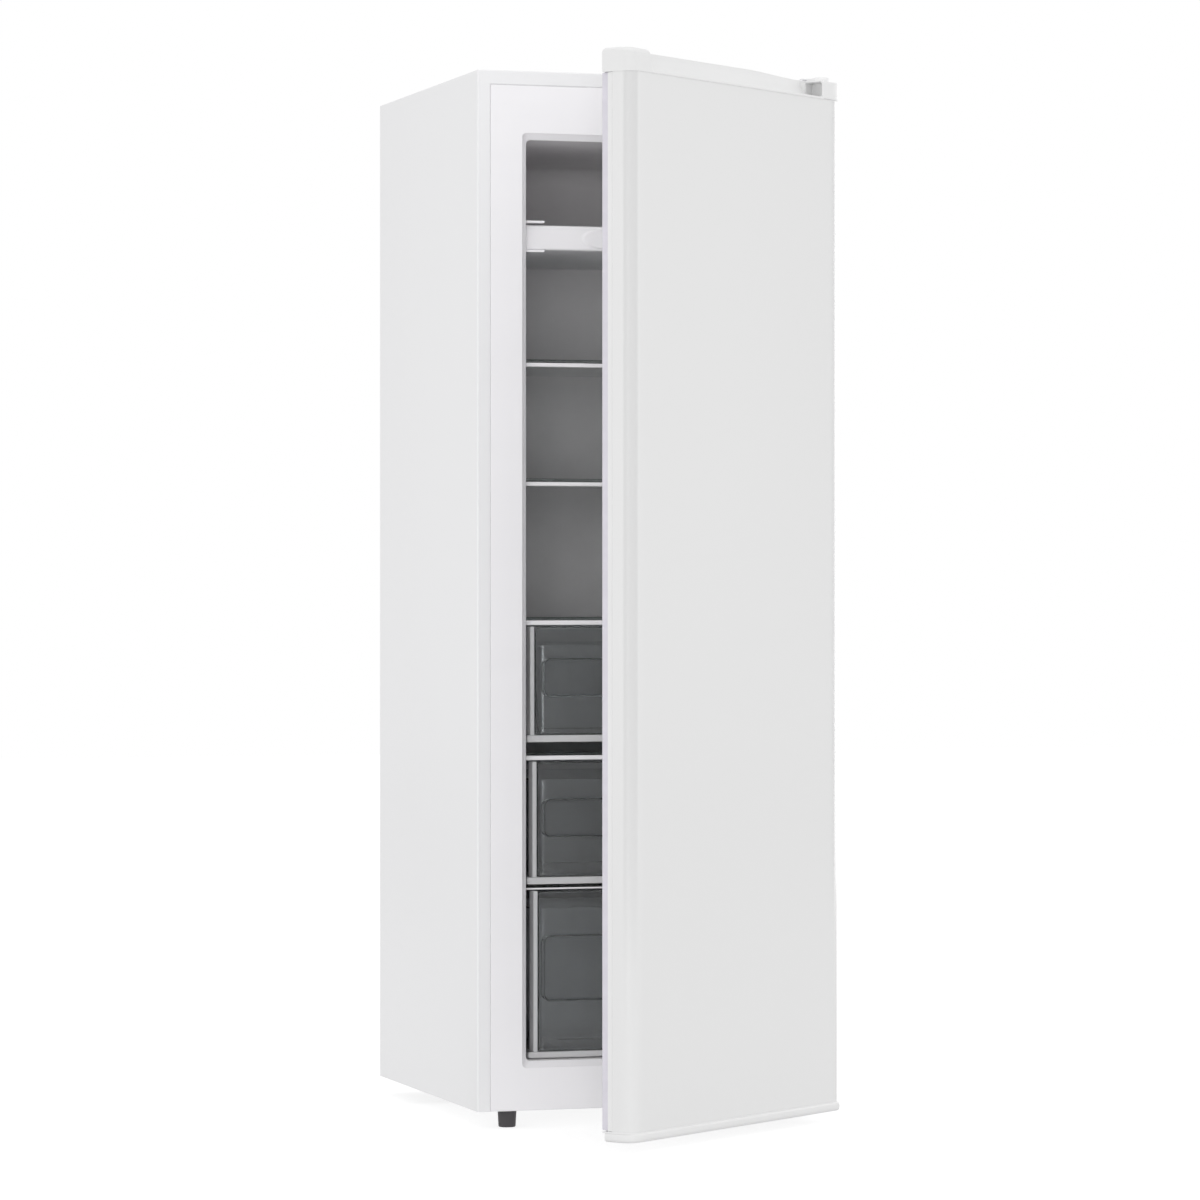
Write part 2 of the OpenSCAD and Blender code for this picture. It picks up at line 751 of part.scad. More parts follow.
// Left is minus one and right is plus one
module front_foot(side) color(dark_plastic) on_feet() translate([side*(half_w - foot_in), foot_y, 0]) {
  translate([0, 0, -foot_h]) cylinder(r1 = foot_low_r, r2 = foot_top_r, h = foot_h - foot_hex_h - foot_play);
  translate([0, 0, -foot_hex_h - foot_play]) cylinder(r = foot_top_r, h = foot_hex_h, $fn = 6);
  translate([0, 0, -foot_hex_h]) cylinder(r = stud_r, h = foot_hex_h + stud_h);
}

module rear_foot(side) color(dark_plastic) on_feet()
  translate([side*rear_foot_x, rear_foot_y, -foot_h]) cylinder(r1 = foot_low_r, r2 = foot_top_r, h = foot_h);

// Hinges

module hinge_plate_top() color(enamel) on_feet() difference() {
  side = half_w - plate_edge;
  arm = [hinge_x - hinge_end_r, hinge_x + hinge_end_r];
  union() {
    block([side - plate_w[1], side], [0, plate_y[1]], [cab_h, cab_h + plate_top_t]);
    block(arm, [crank_y, cut], [cab_h, cab_h + plate_top_t]);
    block(arm, [crank_y, -crank_gap], [arm_z, cab_h + plate_top_t]);
    block(arm, [hinge_y, -crank_gap], [arm_z, arm_z + plate_top_t]);
    translate([hinge_x, hinge_y, arm_z]) cylinder(r = hinge_end_r, h = plate_top_t);
    translate([hinge_x, hinge_y, block_z + bush_lift]) cylinder(r = pin_collar_r, h = arm_z - block_z - bush_lift);
    translate([hinge_x, hinge_y, block_z - bush_l + pin_short])
      cylinder(r = pin_r, h = arm_z - block_z + bush_l - pin_short);
  }
  top_screw_spots() translate([0, 0, cab_h - cut])
    cylinder(r = hinge_screw_r + screw_play, h = plate_top_t + 2*cut);
}

// A hood over the arm, open below and at the back
module hinge_cover() color(white_plastic) on_feet() difference() {
  z = [block_z + cover_gap, arm_z + plate_top_t, arm_z + plate_top_t + cover_t];
  inside = cover_half - cover_wall;
  union() {
    translate([hinge_x, hinge_y, z[0]]) cylinder(r1 = cover_r[0], r2 = cover_r[1], h = z[2] - z[0]);
    block([hinge_x - cover_half, hinge_x + cover_half], [hinge_y, -cover_gap], [z[0], z[2]]);
  }
  translate([hinge_x, hinge_y, z[0] - cut]) cylinder(r = cover_r[1] - cover_wall, h = z[1] - z[0] + cut);
  block([hinge_x - inside, hinge_x + inside], [hinge_y, cut], [z[0] - cut, z[1]]);
  block([hinge_x - inside, hinge_x + inside], [crank_y - foam_gap, cut], [z[1] - cut, z[2] + cut]);
}

module top_hinge_screws() color(steel) on_feet() top_screw_spots() {
  translate([0, 0, cab_h - sheet_t]) cylinder(r = hinge_screw_r, h = sheet_t + plate_top_t);
  translate([0, 0, cab_h + plate_top_t]) cylinder(r = hinge_head_r, h = hinge_head_h);
}

module hinge_plate_bottom() color(enamel) on_feet() difference() {
  side = half_w - plate_edge;
  union() {
    block([side - plate_w[0], side], plate_y, [-plate_low_t, 0]);
    block([side - plate_w[0], hinge_x], [hinge_y, plate_y[0]], [-plate_low_t, 0]);
    translate([hinge_x, hinge_y, -plate_low_t]) cylinder(r = hinge_end_r, h = plate_low_t);
    translate([hinge_x, hinge_y, -plate_low_t])
      cylinder(r = pin_r, h = plate_low_t + cap_low_z + bush_l - pin_short);
  }
  low_screw_spots() translate([0, 0, -plate_low_t - cut])
    cylinder(r = hinge_screw_r + screw_play, h = plate_low_t + 2*cut);
}

module bottom_hinge_screws() color(steel) on_feet() low_screw_spots() {
  translate([0, 0, -plate_low_t]) cylinder(r = hinge_screw_r, h = plate_low_t + pan_t);
  translate([0, 0, -plate_low_t - hinge_head_h]) cylinder(r = hinge_head_r, h = hinge_head_h);
}

// A flanged bushing with its flange at z = 0, its sleeve above
module bushing(flange_t) difference() {
  union() {
    cylinder(r = bush_r, h = bush_l);
    translate([0, 0, -flange_t]) cylinder(r = bush_flange_r, h = flange_t);
  }
  translate([0, 0, -flange_t - cut]) cylinder(r = pin_r + pin_play, h = bush_l + flange_t + 2*cut);
}

module hinge_bushings() color(dark_plastic) hung() {
  translate([hinge_x, hinge_y, cap_low_z]) bushing(cap_low_z - bush_lift);
  translate([hinge_x, hinge_y, block_z - bush_flange_t]) mirror([0, 0, 1]) bushing(bush_flange_t);
}

// Shelves, tray and rails

module shelf_pane(i) color(glass_tint, 0.4) on_feet()
  block([-inner_half + shelf_side_gap, inner_half - shelf_side_gap],
    [shelf_y + 2, inner_back - shelf_back_gap], [shelf_z[i], shelf_z[i] + pane_t]);

module shelf_trim(i) color(white_plastic) on_feet()
  block([-inner_half + shelf_side_gap, inner_half - shelf_side_gap],
    [shelf_y, shelf_y + trim_d], [shelf_z[i] - trim_h[i], shelf_z[i]]);

// The bars clipped to the liner's sides under the shelves
module shelf_supports() color(liner_grey) on_feet()
  for (z = shelf_z, side = [-1, 1])
    along_x(side*(inner_half - ledge_w/2) - ledge_w/2, ledge_w)
      polygon([[shelf_y + trim_d, z], [shelf_y + trim_d, z - ledge_h/2], [shelf_y + trim_d + ledge_h, z - ledge_h],
        [inner_back, z - ledge_h], [inner_back, z]]);

module tray_rail(side) color(white_plastic) on_feet() scale([side, 1, 1]) {
  y = [drawer_y - 6, inner_back - shelf_back_gap];
  low = tray_low - tray_low_gap - rail_t;
  high = tray_low + tray_h + tray_head + rail_t;
  block([inner_half - rail_t, inner_half], y, [low, high]);
  block([inner_half - rail_reach, inner_half], y, [low, low + rail_t]);
  block([inner_half - rail_reach, inner_half], y, [high - rail_t, high]);
}

module drawer_rails() color(liner_grey) on_feet() {
  reach = [inner_half - band_gap - 8, inner_half];
  for (x = [[-reach[1], -reach[0]], reach])
    block(x, [rail_y, inner_back], [drawer_z[0] - rail_gap - rail_h, drawer_z[0] - rail_gap]);
}

// The outline of the oval grip, two shallow arcs that meet in points
module oval() {
  arc_r = (oval_half*oval_half + oval_rise*oval_rise)/(2*oval_rise);
  intersection() {
    translate([0, arc_r - oval_rise]) circle(r = arc_r, $fn = 200);
    translate([0, -arc_r + oval_rise]) circle(r = arc_r, $fn = 200);
  }
}

module top_tray() color(white_plastic) on_feet() difference() {
  block([-tray_half, tray_half], [drawer_y, tray_back], [tray_low, tray_low + tray_h]);
  block([-tray_half + tray_t, tray_half - tray_t], [drawer_y + tray_front_t, tray_back - tray_t],
    [tray_low + tray_t, tray_low + tray_h + cut]);
  translate([0, 0, tray_low + tray_h/2]) pushed_back(drawer_y - cut, oval_d + cut) oval();
}

// Drawers

module drawer_bin(i) color(clear_plastic, 0.6) on_feet() {
  z0 = drawer_z[i];
  top = drawer_top[i] - bin_drop;
  y0 = drawer_y + front_d;
  y1 = drawer_y + drawer_l[i];
  intersection() {
    union() {
      block([-band_half, band_half], [drawer_y, y1], [z0, z0 + bin_t]);
      block([-band_half, band_half], [drawer_y, drawer_y + 8], [z0, z0 + band_h]);
      difference() {
        block([-bin_half, bin_half], [y0, y1], [z0, top]);
        block([-bin_half + bin_t, bin_half - bin_t], [y0 + bin_t, y1 - bin_t], [z0 + bin_t, top + cut]);
      }
      for (side = [-1, 1], x = rib_x)
        block([side*x - rib_w/2, side*x + rib_w/2], [y0, y1], [z0, z0 + bin_t + rib_h]);
    }
    pushed_back(0, cab_d) window(inner_half - 1, [floor_z + drawer_gap/2, ceil_z], inner_r - 1);
  }
}

module drawer_front(i) color(clear_plastic, 0.4) on_feet() {
  z = [drawer_z[i] + band_h, drawer_top[i]];
  middle = (drawer_z[i] + drawer_top[i])/2 + grip_up[i];
  grip = [middle - grip_h[i]/2, middle + grip_h[i]/2];
  side = front_half[i];
  half = side - grip_inset[i];
  difference() {
    union() {
      difference() {
        block([-side, side], [drawer_y, drawer_y + front_d], z);
        block([-side + bin_t, side - bin_t], [drawer_y + bin_t, drawer_y + front_d + cut],
          [z[0] + bin_t, z[1] - bin_t]);
      }
      pushed_back(drawer_y + bin_t/2, grip_d + bin_t/2)
        window(half + bin_t, [grip[0] - bin_t, grip[1] + bin_t], grip_r + bin_t);
    }
    pushed_back(drawer_y - cut, grip_d + cut) window(half, grip, grip_r);
  }
}

// Door, drawn closed

// Plan of the door grown by g, from its rounded front corners back to y
module door_plan(g, back) {
  half = half_w + g;
  front = -door_face - g;
  r = [door_r + g, hinge_side_r + g];
  translate([-half, front + r[0]]) square([r[0], back - front - r[0]]);
  translate([-half + r[0], front]) square([2*half - r[0] - r[1], back - front]);
  translate([half - r[1], front + r[1]]) square([r[1], back - front - r[1]]);
  for (i = [0, 1]) {
    side = 2*i - 1;
    intersection() {
      translate([side*(half - r[i]), front + r[i]]) circle(r = r[i]);
      translate([side*(half - r[i]/2), front + r[i]/2]) square(r[i], center = true);
    }
  }
}

module door_column(g, back, z) translate([0, 0, z[0]])
  linear_extrude(height = z[1] - z[0]) door_plan(g, back);

// A band round the inside of the door, between two distances from its edge
module door_ring(from, to, y) difference() {
  half = half_w - door_edge;
  z = [cap_low_z, cap_z0];
  block([-half + from, half - from], y, [z[0] + from, z[1] - from]);
  block([-half + to, half - to], [y[0] - cut, y[1] + cut], [z[0] + to, z[1] - to]);
}

module door_skin() color(enamel) hung() {
  z = [skin_z0, cap_z0];
  difference() {
    door_column(0, -skin_back, z);
    door_column(-sheet_t, -skin_back + cut, [z[0] - cut, z[1] + cut]);
  }
  for (x = [[-half_w, -half_w + skin_return], [half_w - skin_return, half_w]])
    block(x, [-skin_back - sheet_t, -skin_back], z);
}

module door_cap_top() color(white_plastic) hung() difference() {
  scoop = [-half_w + block_free, half_w - block_hinge];
  door_column(cap_proud, -cap_gap, [cap_z0, cap_z1]);
  block(scoop, [-door_face - 2*cap_proud, -door_face + lip_t], [cap_z0 + lip_h, cap_z1 + cut]);
  block(scoop, [-door_face + lip_t, -scoop_back - scoop_r], [cap_z1 - scoop_r, cap_z1 + cut]);
  along_x(scoop[0], scoop[1] - scoop[0]) translate([-scoop_back - scoop_r, cap_z1]) circle(r = scoop_r);
  block([scoop[1] - cut, half_w + 2*cap_proud], [-door_face - 2*cap_proud, 0], [block_z, cap_z1 + cut]);
  block([scoop[1] - cut, hinge_x - bush_flange_r - boss_wall],
    [-door_face + pocket_wall[0] - cap_proud, -scoop_back - pocket_wall[1]],
    [cap_z0 + lip_h + cap_proud, block_z - pocket_wall[2]]);
  pushed_back(-door_face, door_face) polygon(concat(
    [[scoop[1], cap_z1 + cut], [scoop[1] - dip_l, cap_z1 + cut]],
    [for (i = [0:dip_steps]) let (t = i/dip_steps)
      [scoop[1] - dip_l*(1 - t), cap_z1 - dip*(1 - cos(180*t))/2]]));
  difference() {
    block([-half_w - 2*cap_proud, scoop[0]], [-door_face - 2*cap_proud, -door_face - cap_proud + block_r],
      [cap_z1 - block_r, cap_z1 + cut]);
    along_x(-half_w - 3*cap_proud, block_free + 4*cap_proud)
      translate([-door_face - cap_proud + block_r, cap_z1 - block_r]) circle(r = block_r);
  }
  translate([hinge_x, hinge_y, block_z - bush_flange_t])
    cylinder(r = bush_flange_r + stud_play, h = bush_flange_t + cut);
  translate([hinge_x, hinge_y, block_z - bush_flange_t - bush_l]) cylinder(r = bush_r, h = bush_l + bush_flange_t);
}

module door_cap_bottom() color(white_plastic) hung() difference() {
  turn = [-half_w + door_r, -door_face + door_r];
  low = skin_z0 - bar_h;
  section = [door_r + 2*cap_proud - bar_t, low];
  union() {
    door_column(cap_proud, -cap_gap, [cap_low_z, skin_z0]);
    along_x(turn[0], half_w + cap_proud - turn[0])
      rounded([-door_face - 2*cap_proud, low], [-door_face - 2*cap_proud + bar_t, skin_z0], bar_r);
    intersection() {
      translate([turn[0], turn[1], 0]) rotate_extrude() rounded(section, section + [bar_t, bar_h], bar_r);
      block([-half_w - cap_proud, turn[0]], [-door_face - 3*cap_proud, turn[1]], [low - cut, skin_z0 + cut]);
    }
    block([-half_w - cap_proud, -half_w - cap_proud + 8], [turn[1], -cap_gap - 4], [low + 1, skin_z0]);
    translate([hinge_x, hinge_y, cap_low_z]) cylinder(r = door_boss_r, h = bush_l + boss_wall);
  }
  translate([hinge_x, hinge_y, cap_low_z - cut]) cylinder(r = bush_r, h = bush_l + cut);
}

// A rounded field on the inside of the door, inset from the door's edge
module door_field(inset, r, y) pushed_back(y[0], y[1] - y[0])
  window(half_w - inset, [cap_low_z + inset, cap_z0 - inset], r);

module door_liner() color(white_plastic) hung() {
  half = half_w - door_edge;
  z = [skin_z0, cap_z0];
  difference() {
    union() {
      block([-half, half], [-skin_back, -seal_gap], z);
      door_field(field_inset, field_r, [-seal_gap - cut, field_in]);
    }
    block([-half + flange_t, half - flange_t], [-skin_back - cut, -seal_gap - flange_t],
      [z[0] + flange_t, z[1] - flange_t]);
    difference() {
      door_field(field_inset + flange_t, field_r - flange_t, [-skin_back - cut, field_in - flange_t]);
      door_field(pan_inset - flange_t, pan_r + flange_t, [field_in - pan_d - flange_t, field_in]);
    }
    door_field(pan_inset, pan_r, [field_in - pan_d, field_in + cut]);
  }
}

module door_insulation() color(foam_cream) hung() difference() {
  union() {
    door_column(-sheet_t - foam_gap, -skin_back - sheet_t, [skin_z0, cap_z0]);
    block([-half_w + door_edge + flange_t + foam_gap, half_w - door_edge - flange_t - foam_gap],
      [-skin_back - sheet_t - cut, -seal_gap - flange_t],
      [skin_z0 + flange_t + foam_gap, cap_z0 - flange_t - foam_gap]);
  }
  block([-half_w, -half_w + skin_return + foam_gap], [-skin_back - sheet_t, -skin_back], [0, cab_h]);
  block([half_w - skin_return - foam_gap, half_w], [-skin_back - sheet_t, -skin_back], [0, cab_h]);
  translate([hinge_x, hinge_y, 0]) cylinder(r = door_boss_r + foam_gap, h = cap_low_z + bush_l + 2*boss_wall);
}

module door_gasket() color(gasket_white) hung() difference() {
  union() {
    door_ring(seal_lip, seal_lip + seal_foot_w, [-seal_gap, -seal_gap + seal_foot_t]);
    door_ring(seal_lip, seal_lip + seal_lip_t, [-seal_gap + seal_foot_t - 0.5, -seal_lip_free]);
    door_ring(seal_out, seal_out + seal_w, [-seal_gap + seal_foot_t - 0.5, -seal_free]);
  }
  door_ring(seal_out - cut, seal_out + 2, [-seal_gap + seal_foot_t + 1.5, -seal_gap + seal_foot_t + 4]);
  door_ring(seal_out + magnet_in - magnet_play, seal_out + magnet_in + magnet_w + magnet_play,
    [-magnet_y - magnet_t - magnet_play, -magnet_y + magnet_play]);
}

module gasket_magnets() color(dark_plastic) hung()
  door_ring(seal_out + magnet_in, seal_out + magnet_in + magnet_w, [-magnet_y - magnet_t, -magnet_y]);

outer_shell();
front_frame();
inner_liner();
cabinet_insulation();
back_panel();
base_pan();
bay_lining();
rear_cover();
panel_screws();
compressor_base();
compressor();
compressor_grommets();
compressor_bolts();
relay_cover();
filter_drier();
discharge_tube();
suction_tube();
condenser_coil();
evaporator_coil();
thermostat();
thermostat_knob();
cord_gland();
front_foot(-1);  // front_foot_left
front_foot(1);  // front_foot_right
rear_foot(-1);  // rear_foot_left
rear_foot(1);  // rear_foot_right
hinge_plate_top();
hinge_cover();
top_hinge_screws();
hinge_plate_bottom();
bottom_hinge_screws();
hinge_bushings();
for (i = [0:4]) {
  shelf_pane(i);
  shelf_trim(i);
}
shelf_supports();
tray_rail(-1);  // tray_rail_left
tray_rail(1);  // tray_rail_right
drawer_rails();
top_tray();
for (i = [0:2]) {
  drawer_bin(i);
  drawer_front(i);
}
door_skin();
door_cap_top();
door_cap_bottom();
door_insulation();
door_liner();
door_gasket();
gasket_magnets();
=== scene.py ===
"""Looks of an upright freezer: enamelled steel, moulded plastics, glass shelves and clear drawers.

Sizes are in millimetres and in cabinet coordinates: x from the middle to the right, y from the cabinet's
front to the back, z from the cabinet's underside. Door pieces are drawn closed and then swung open.
"""

import logging
import math
from dataclasses import dataclass, field
from enum import Enum

import bmesh
import bpy
import numpy as np
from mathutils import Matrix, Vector


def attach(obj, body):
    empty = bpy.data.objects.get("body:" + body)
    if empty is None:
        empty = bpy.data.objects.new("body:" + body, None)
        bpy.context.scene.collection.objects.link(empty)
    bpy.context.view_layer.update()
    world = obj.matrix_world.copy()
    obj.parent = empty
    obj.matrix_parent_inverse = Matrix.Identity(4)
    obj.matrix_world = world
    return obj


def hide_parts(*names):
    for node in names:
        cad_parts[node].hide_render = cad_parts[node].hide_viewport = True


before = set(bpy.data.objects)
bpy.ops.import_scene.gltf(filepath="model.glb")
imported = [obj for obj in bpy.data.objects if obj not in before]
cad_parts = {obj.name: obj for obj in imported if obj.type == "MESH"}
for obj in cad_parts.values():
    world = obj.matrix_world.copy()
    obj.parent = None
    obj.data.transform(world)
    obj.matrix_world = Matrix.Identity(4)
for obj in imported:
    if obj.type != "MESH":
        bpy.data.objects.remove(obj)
LOG = logging.getLogger("freezer")

CABINET_HALF_DEPTH = 255.0
FOOT_HEIGHT = 24.0
HINGE = (233.0, -34.0)
DOOR_ANGLE = math.radians(37.0)

Colour = tuple[float, float, float]


# Shader expressions


class Tone:
    """A socket of a material, on which Python's operators add Math nodes."""

    def __init__(self, recipe: "Recipe", socket: bpy.types.NodeSocket) -> None:
        """Keeps the recipe and the socket.

        Args:
            recipe: The material that the socket belongs to.
            socket: The output socket.
        """
        self.recipe = recipe
        self.socket = socket

    def _math(self, operation: str, first: object, second: object) -> "Tone":
        """Adds one Math node.

        Args:
            operation: The node's operation.
            first: Left value.
            second: Right value.

        Returns:
            The node's result.
        """
        return self.recipe.node("ShaderNodeMath", {"operation": operation}, {0: first, 1: second})

    def __add__(self, other: object) -> "Tone":
        """Sum."""
        return self._math("ADD", self, other)

    def __radd__(self, other: object) -> "Tone":
        """Sum with the tone on the right."""
        return self._math("ADD", other, self)

    def __rsub__(self, other: object) -> "Tone":
        """Difference with the tone on the right."""
        return self._math("SUBTRACT", other, self)

    def __rmul__(self, other: object) -> "Tone":
        """Product with the tone on the right."""
        return self._math("MULTIPLY", other, self)

    def above(self, level: float) -> "Tone":
        """One where the tone is above a level, and zero elsewhere.

        Args:
            level: The level.

        Returns:
            The tone of ones and zeros.
        """
        return self._math("GREATER_THAN", self, level)

    def between(self, low: float, high: float) -> "Tone":
        """Maps low to zero and high to one, clamped.

        Args:
            low: Value that becomes zero.
            high: Value that becomes one.

        Returns:
            The mapped tone.
        """
        return self.recipe.node("ShaderNodeMapRange", {"clamp": True},
                                {"Value": self, "From Min": low, "From Max": high})


class Recipe:
    """The node tree of one material, or of the world."""

    def __init__(self, owner: bpy.types.ID) -> None:
        """Starts with an empty tree.

        Args:
            owner: The material or the world.
        """
        self.owner = owner
        owner.use_nodes = True
        self.tree = owner.node_tree
        self.tree.nodes.clear()
        self.places = self.node("ShaderNodeTexCoord", output="Object")

    def node(self, kind: str, settings: dict | None = None, sockets: dict | None = None,
             output: str | int = 0) -> Tone:
        """Adds a node, sets it and feeds its sockets.

        Args:
            kind: The node's type.
            settings: Attributes of the node.
            sockets: Values or tones for the node's inputs, by name or number.
            output: The output to return.

        Returns:
            The chosen output.
        """
        made = self.tree.nodes.new(kind)
        for name, value in (settings or {}).items():
            setattr(made, name, value)
        for name, value in (sockets or {}).items():
            target = made.inputs[name]
            if isinstance(value, Tone):
                self.tree.links.new(value.socket, target)
            else:
                target.default_value = value
        return Tone(self, made.outputs[output]) if made.outputs else Tone(self, None)

    def noise(self, size_mm: float, detail: float = 2.0, stretch: tuple = (1, 1, 1)) -> Tone:
        """Noise whose lumps have a given size.

        Args:
            size_mm: Size of a lump.
            detail: Octaves of finer noise.
            stretch: How many times longer the lumps are along each axis.

        Returns:
            The noise, from zero to one.
        """
        scale = tuple(1.0 / s for s in stretch)
        where = self.node("ShaderNodeMapping", sockets={"Vector": self.places, "Scale": scale})
        return self.node("ShaderNodeTexNoise", sockets={"Vector": where, "Scale": 1000.0 / size_mm,
                                                        "Detail": detail}, output="Fac")

    def cells(self, size_mm: float, output: str = "Distance") -> Tone:
        """Voronoi cells of a given size.

        Args:
            size_mm: Size of a cell.
            output: The output to use.

        Returns:
            The chosen output.
        """
        return self.node("ShaderNodeTexVoronoi", sockets={"Vector": self.places, "Scale": 1000.0 / size_mm},
                         output=output)

    def mix(self, factor: object, first: Colour, second: Colour) -> Tone:
        """Mixes two colours.

        Args:
            factor: Share of the second colour.
            first: First colour.
            second: Second colour.

        Returns:
            The mixed colour.
        """
        sockets = {"Factor": factor, 6: (*first, 1.0), 7: (*second, 1.0)}
        return self.node("ShaderNodeMix", {"data_type": "RGBA"}, sockets, output=2)

    def bump(self, height: Tone, depth_mm: float, strength: float = 1.0) -> Tone:
        """Turns a height into a normal.

        Args:
            height: Height from zero to one.
            depth_mm: Depth that one stands for.
            strength: Strength of the effect.

        Returns:
            The normal.
        """
        return self.node("ShaderNodeBump", sockets={"Height": height, "Distance": depth_mm / 1000.0,
                                                    "Strength": strength}, output="Normal")

    def close(self, sockets: dict) -> bpy.types.Material:
        """Ends the recipe with a Principled shader.

        Args:
            sockets: The shader's inputs.

        Returns:
            The finished material.
        """
        shader = self.node("ShaderNodeBsdfPrincipled", sockets=sockets)
        self.node("ShaderNodeOutputMaterial", sockets={"Surface": shader})
        return self.owner


def shade(colour: Colour, factor: float) -> Colour:
    """A colour scaled by a factor, with each channel kept below one.

    Args:
        colour: The colour.
        factor: The factor.

    Returns:
        The scaled colour.
    """
    return tuple(min(0.99, channel * factor) for channel in colour)


class Surface:
    """A finish whose subclasses say what goes into the shader."""

    def sockets(self, recipe: Recipe) -> dict:
        """The inputs of the shader.

        Args:
            recipe: The material in the making.

        Returns:
            Tones and constants by the name of the input.
        """
        raise NotImplementedError

    def material(self, name: str) -> bpy.types.Material:
        """Builds the material.

        Args:
            name: The material's name.

        Returns:
            The material.
        """
        recipe = Recipe(bpy.data.materials.new(name))
        return recipe.close(self.sockets(recipe))


@dataclass(frozen=True)
class Enamel(Surface):
    """Baked enamel on sheet steel, with the faint ripple that the trade calls orange peel."""

    colour: Colour
    roughness: float = 0.3
    peel_mm: float = 2.6
    coat: float = 0.25
    index: float = 1.5

    def sockets(self, recipe: Recipe) -> dict:
        """The inputs of the shader."""
        drift = recipe.noise(420.0, detail=1.0, stretch=(1, 1, 3))
        peel = recipe.noise(self.peel_mm, detail=1.5)
        wave = recipe.noise(160.0, detail=0.0)
        return {
            "Base Color": recipe.mix(drift, shade(self.colour, 0.985), shade(self.colour, 1.015)),
            "Roughness": self.roughness - 0.04 + 0.08 * recipe.noise(38.0, detail=3.0),
            "IOR": self.index,
            "Coat Weight": self.coat,
            "Coat Roughness": 0.12,
            "Normal": recipe.bump(peel + 14.0 * wave, depth_mm=0.012, strength=0.35),
        }


@dataclass(frozen=True)
class Moulding(Surface):
    """Injection-moulded plastic with a fine spark-eroded grain and faint flow marks."""

    colour: Colour
    roughness: float = 0.38
    grain_mm: float = 0.9
    grain_depth: float = 0.012
    subsurface: float = 0.0

    def sockets(self, recipe: Recipe) -> dict:
        """The inputs of the shader."""
        flow = recipe.noise(60.0, detail=2.0, stretch=(4, 1, 1))
        grain = recipe.noise(self.grain_mm, detail=3.0)
        return {
            "Base Color": recipe.mix(flow, shade(self.colour, 0.975), shade(self.colour, 1.02)),
            "Roughness": self.roughness - 0.05 + 0.1 * recipe.noise(9.0, detail=3.0),
            "Subsurface Weight": self.subsurface,
            "Subsurface Scale": 0.004,
            "Normal": recipe.bump(grain, depth_mm=self.grain_depth, strength=0.6),
        }


@dataclass(frozen=True)
class FormedSheet(Surface):
    """Vacuum-formed liner sheet: a soft gloss over slow waves, with a trace of frost haze."""

    colour: Colour
    roughness: float = 0.34

    def sockets(self, recipe: Recipe) -> dict:
        """The inputs of the shader."""
        haze = recipe.noise(140.0, detail=4.0).between(0.35, 0.75)
        wave = recipe.noise(70.0, detail=1.0)
        grain = recipe.noise(1.4, detail=2.0)
        return {
            "Base Color": recipe.mix(haze, shade(self.colour, 0.95), shade(self.colour, 1.06)),
            "Roughness": self.roughness + 0.12 * haze,
            "Normal": recipe.bump(0.1 * grain + wave, depth_mm=0.25, strength=0.4),
        }


@dataclass(frozen=True)
class ClearPlastic(Surface):
    """Clear moulded plastic. Frost makes it scatter, as on the bands and ribs, whose pale frost is also a
    painted highlight for the glow along clear edges.
    """

    colour: Colour
    roughness: float
    transmission: float
    index: float = 1.49

    def sockets(self, recipe: Recipe) -> dict:
        """The inputs of the shader."""
        scuffs = recipe.noise(22.0, detail=5.0, stretch=(1, 1, 3)).between(0.55, 0.8)
        wave = recipe.noise(30.0, detail=1.0)
        return {
            "Base Color": recipe.mix(scuffs, self.colour, shade(self.colour, 0.96)),
            "Roughness": self.roughness + 0.1 * scuffs,
            "Transmission Weight": self.transmission,
            "IOR": self.index,
            "Normal": recipe.bump(wave, depth_mm=0.08, strength=0.3),
        }


@dataclass(frozen=True)
class SheetMetal(Surface):
    """Zinc-coated sheet with its spangle, or plain drawn metal where the spangle is nil."""

    colour: Colour
    roughness: float = 0.36
    spangle_mm: float = 9.0
    spangle: float = 0.12

    def sockets(self, recipe: Recipe) -> dict:
        """The inputs of the shader."""
        crystals = recipe.cells(self.spangle_mm, "Color")
        grey = recipe.node("ShaderNodeSeparateColor", sockets={0: crystals}, output=0)
        stain = recipe.noise(90.0, detail=4.0)
        return {
            "Base Color": recipe.mix(self.spangle * grey + (1 - self.spangle) * stain,
                                     shade(self.colour, 0.86), shade(self.colour, 1.1)),
            "Metallic": 0.85,
            "Roughness": self.roughness + 0.14 * grey + 0.08 * stain,
            "Normal": recipe.bump(recipe.noise(2.0, detail=3.0), depth_mm=0.01, strength=0.5),
        }


@dataclass(frozen=True)
class TubeMetal(Surface):
    """Drawn tube, tarnished in patches along its length."""

    colour: Colour
    tarnish: Colour
    roughness: float = 0.3

    def sockets(self, recipe: Recipe) -> dict:
        """The inputs of the shader."""
        patches = recipe.noise(24.0, detail=5.0).between(0.42, 0.7)
        return {
            "Base Color": recipe.mix(patches, self.colour, self.tarnish),
            "Metallic": 1.0,
            "Roughness": self.roughness + 0.25 * patches,
            "Normal": recipe.bump(recipe.noise(1.2, detail=2.0, stretch=(1, 1, 12)), depth_mm=0.008,
                                  strength=0.5),
        }


@dataclass(frozen=True)
class SoftSeal(Surface):
    """Pale vinyl of the door seal and black rubber of the grommets: dull, with a talc bloom."""

    colour: Colour
    roughness: float = 0.55

    def sockets(self, recipe: Recipe) -> dict:
        """The inputs of the shader."""
        bloom = recipe.noise(18.0, detail=4.0).between(0.45, 0.8)
        return {
            "Base Color": recipe.mix(bloom, self.colour, shade(self.colour, 1.08)),
            "Roughness": self.roughness + 0.15 * bloom,
            "Sheen Weight": 0.15,
            "Normal": recipe.bump(recipe.noise(0.8, detail=2.0), depth_mm=0.01, strength=0.5),
        }


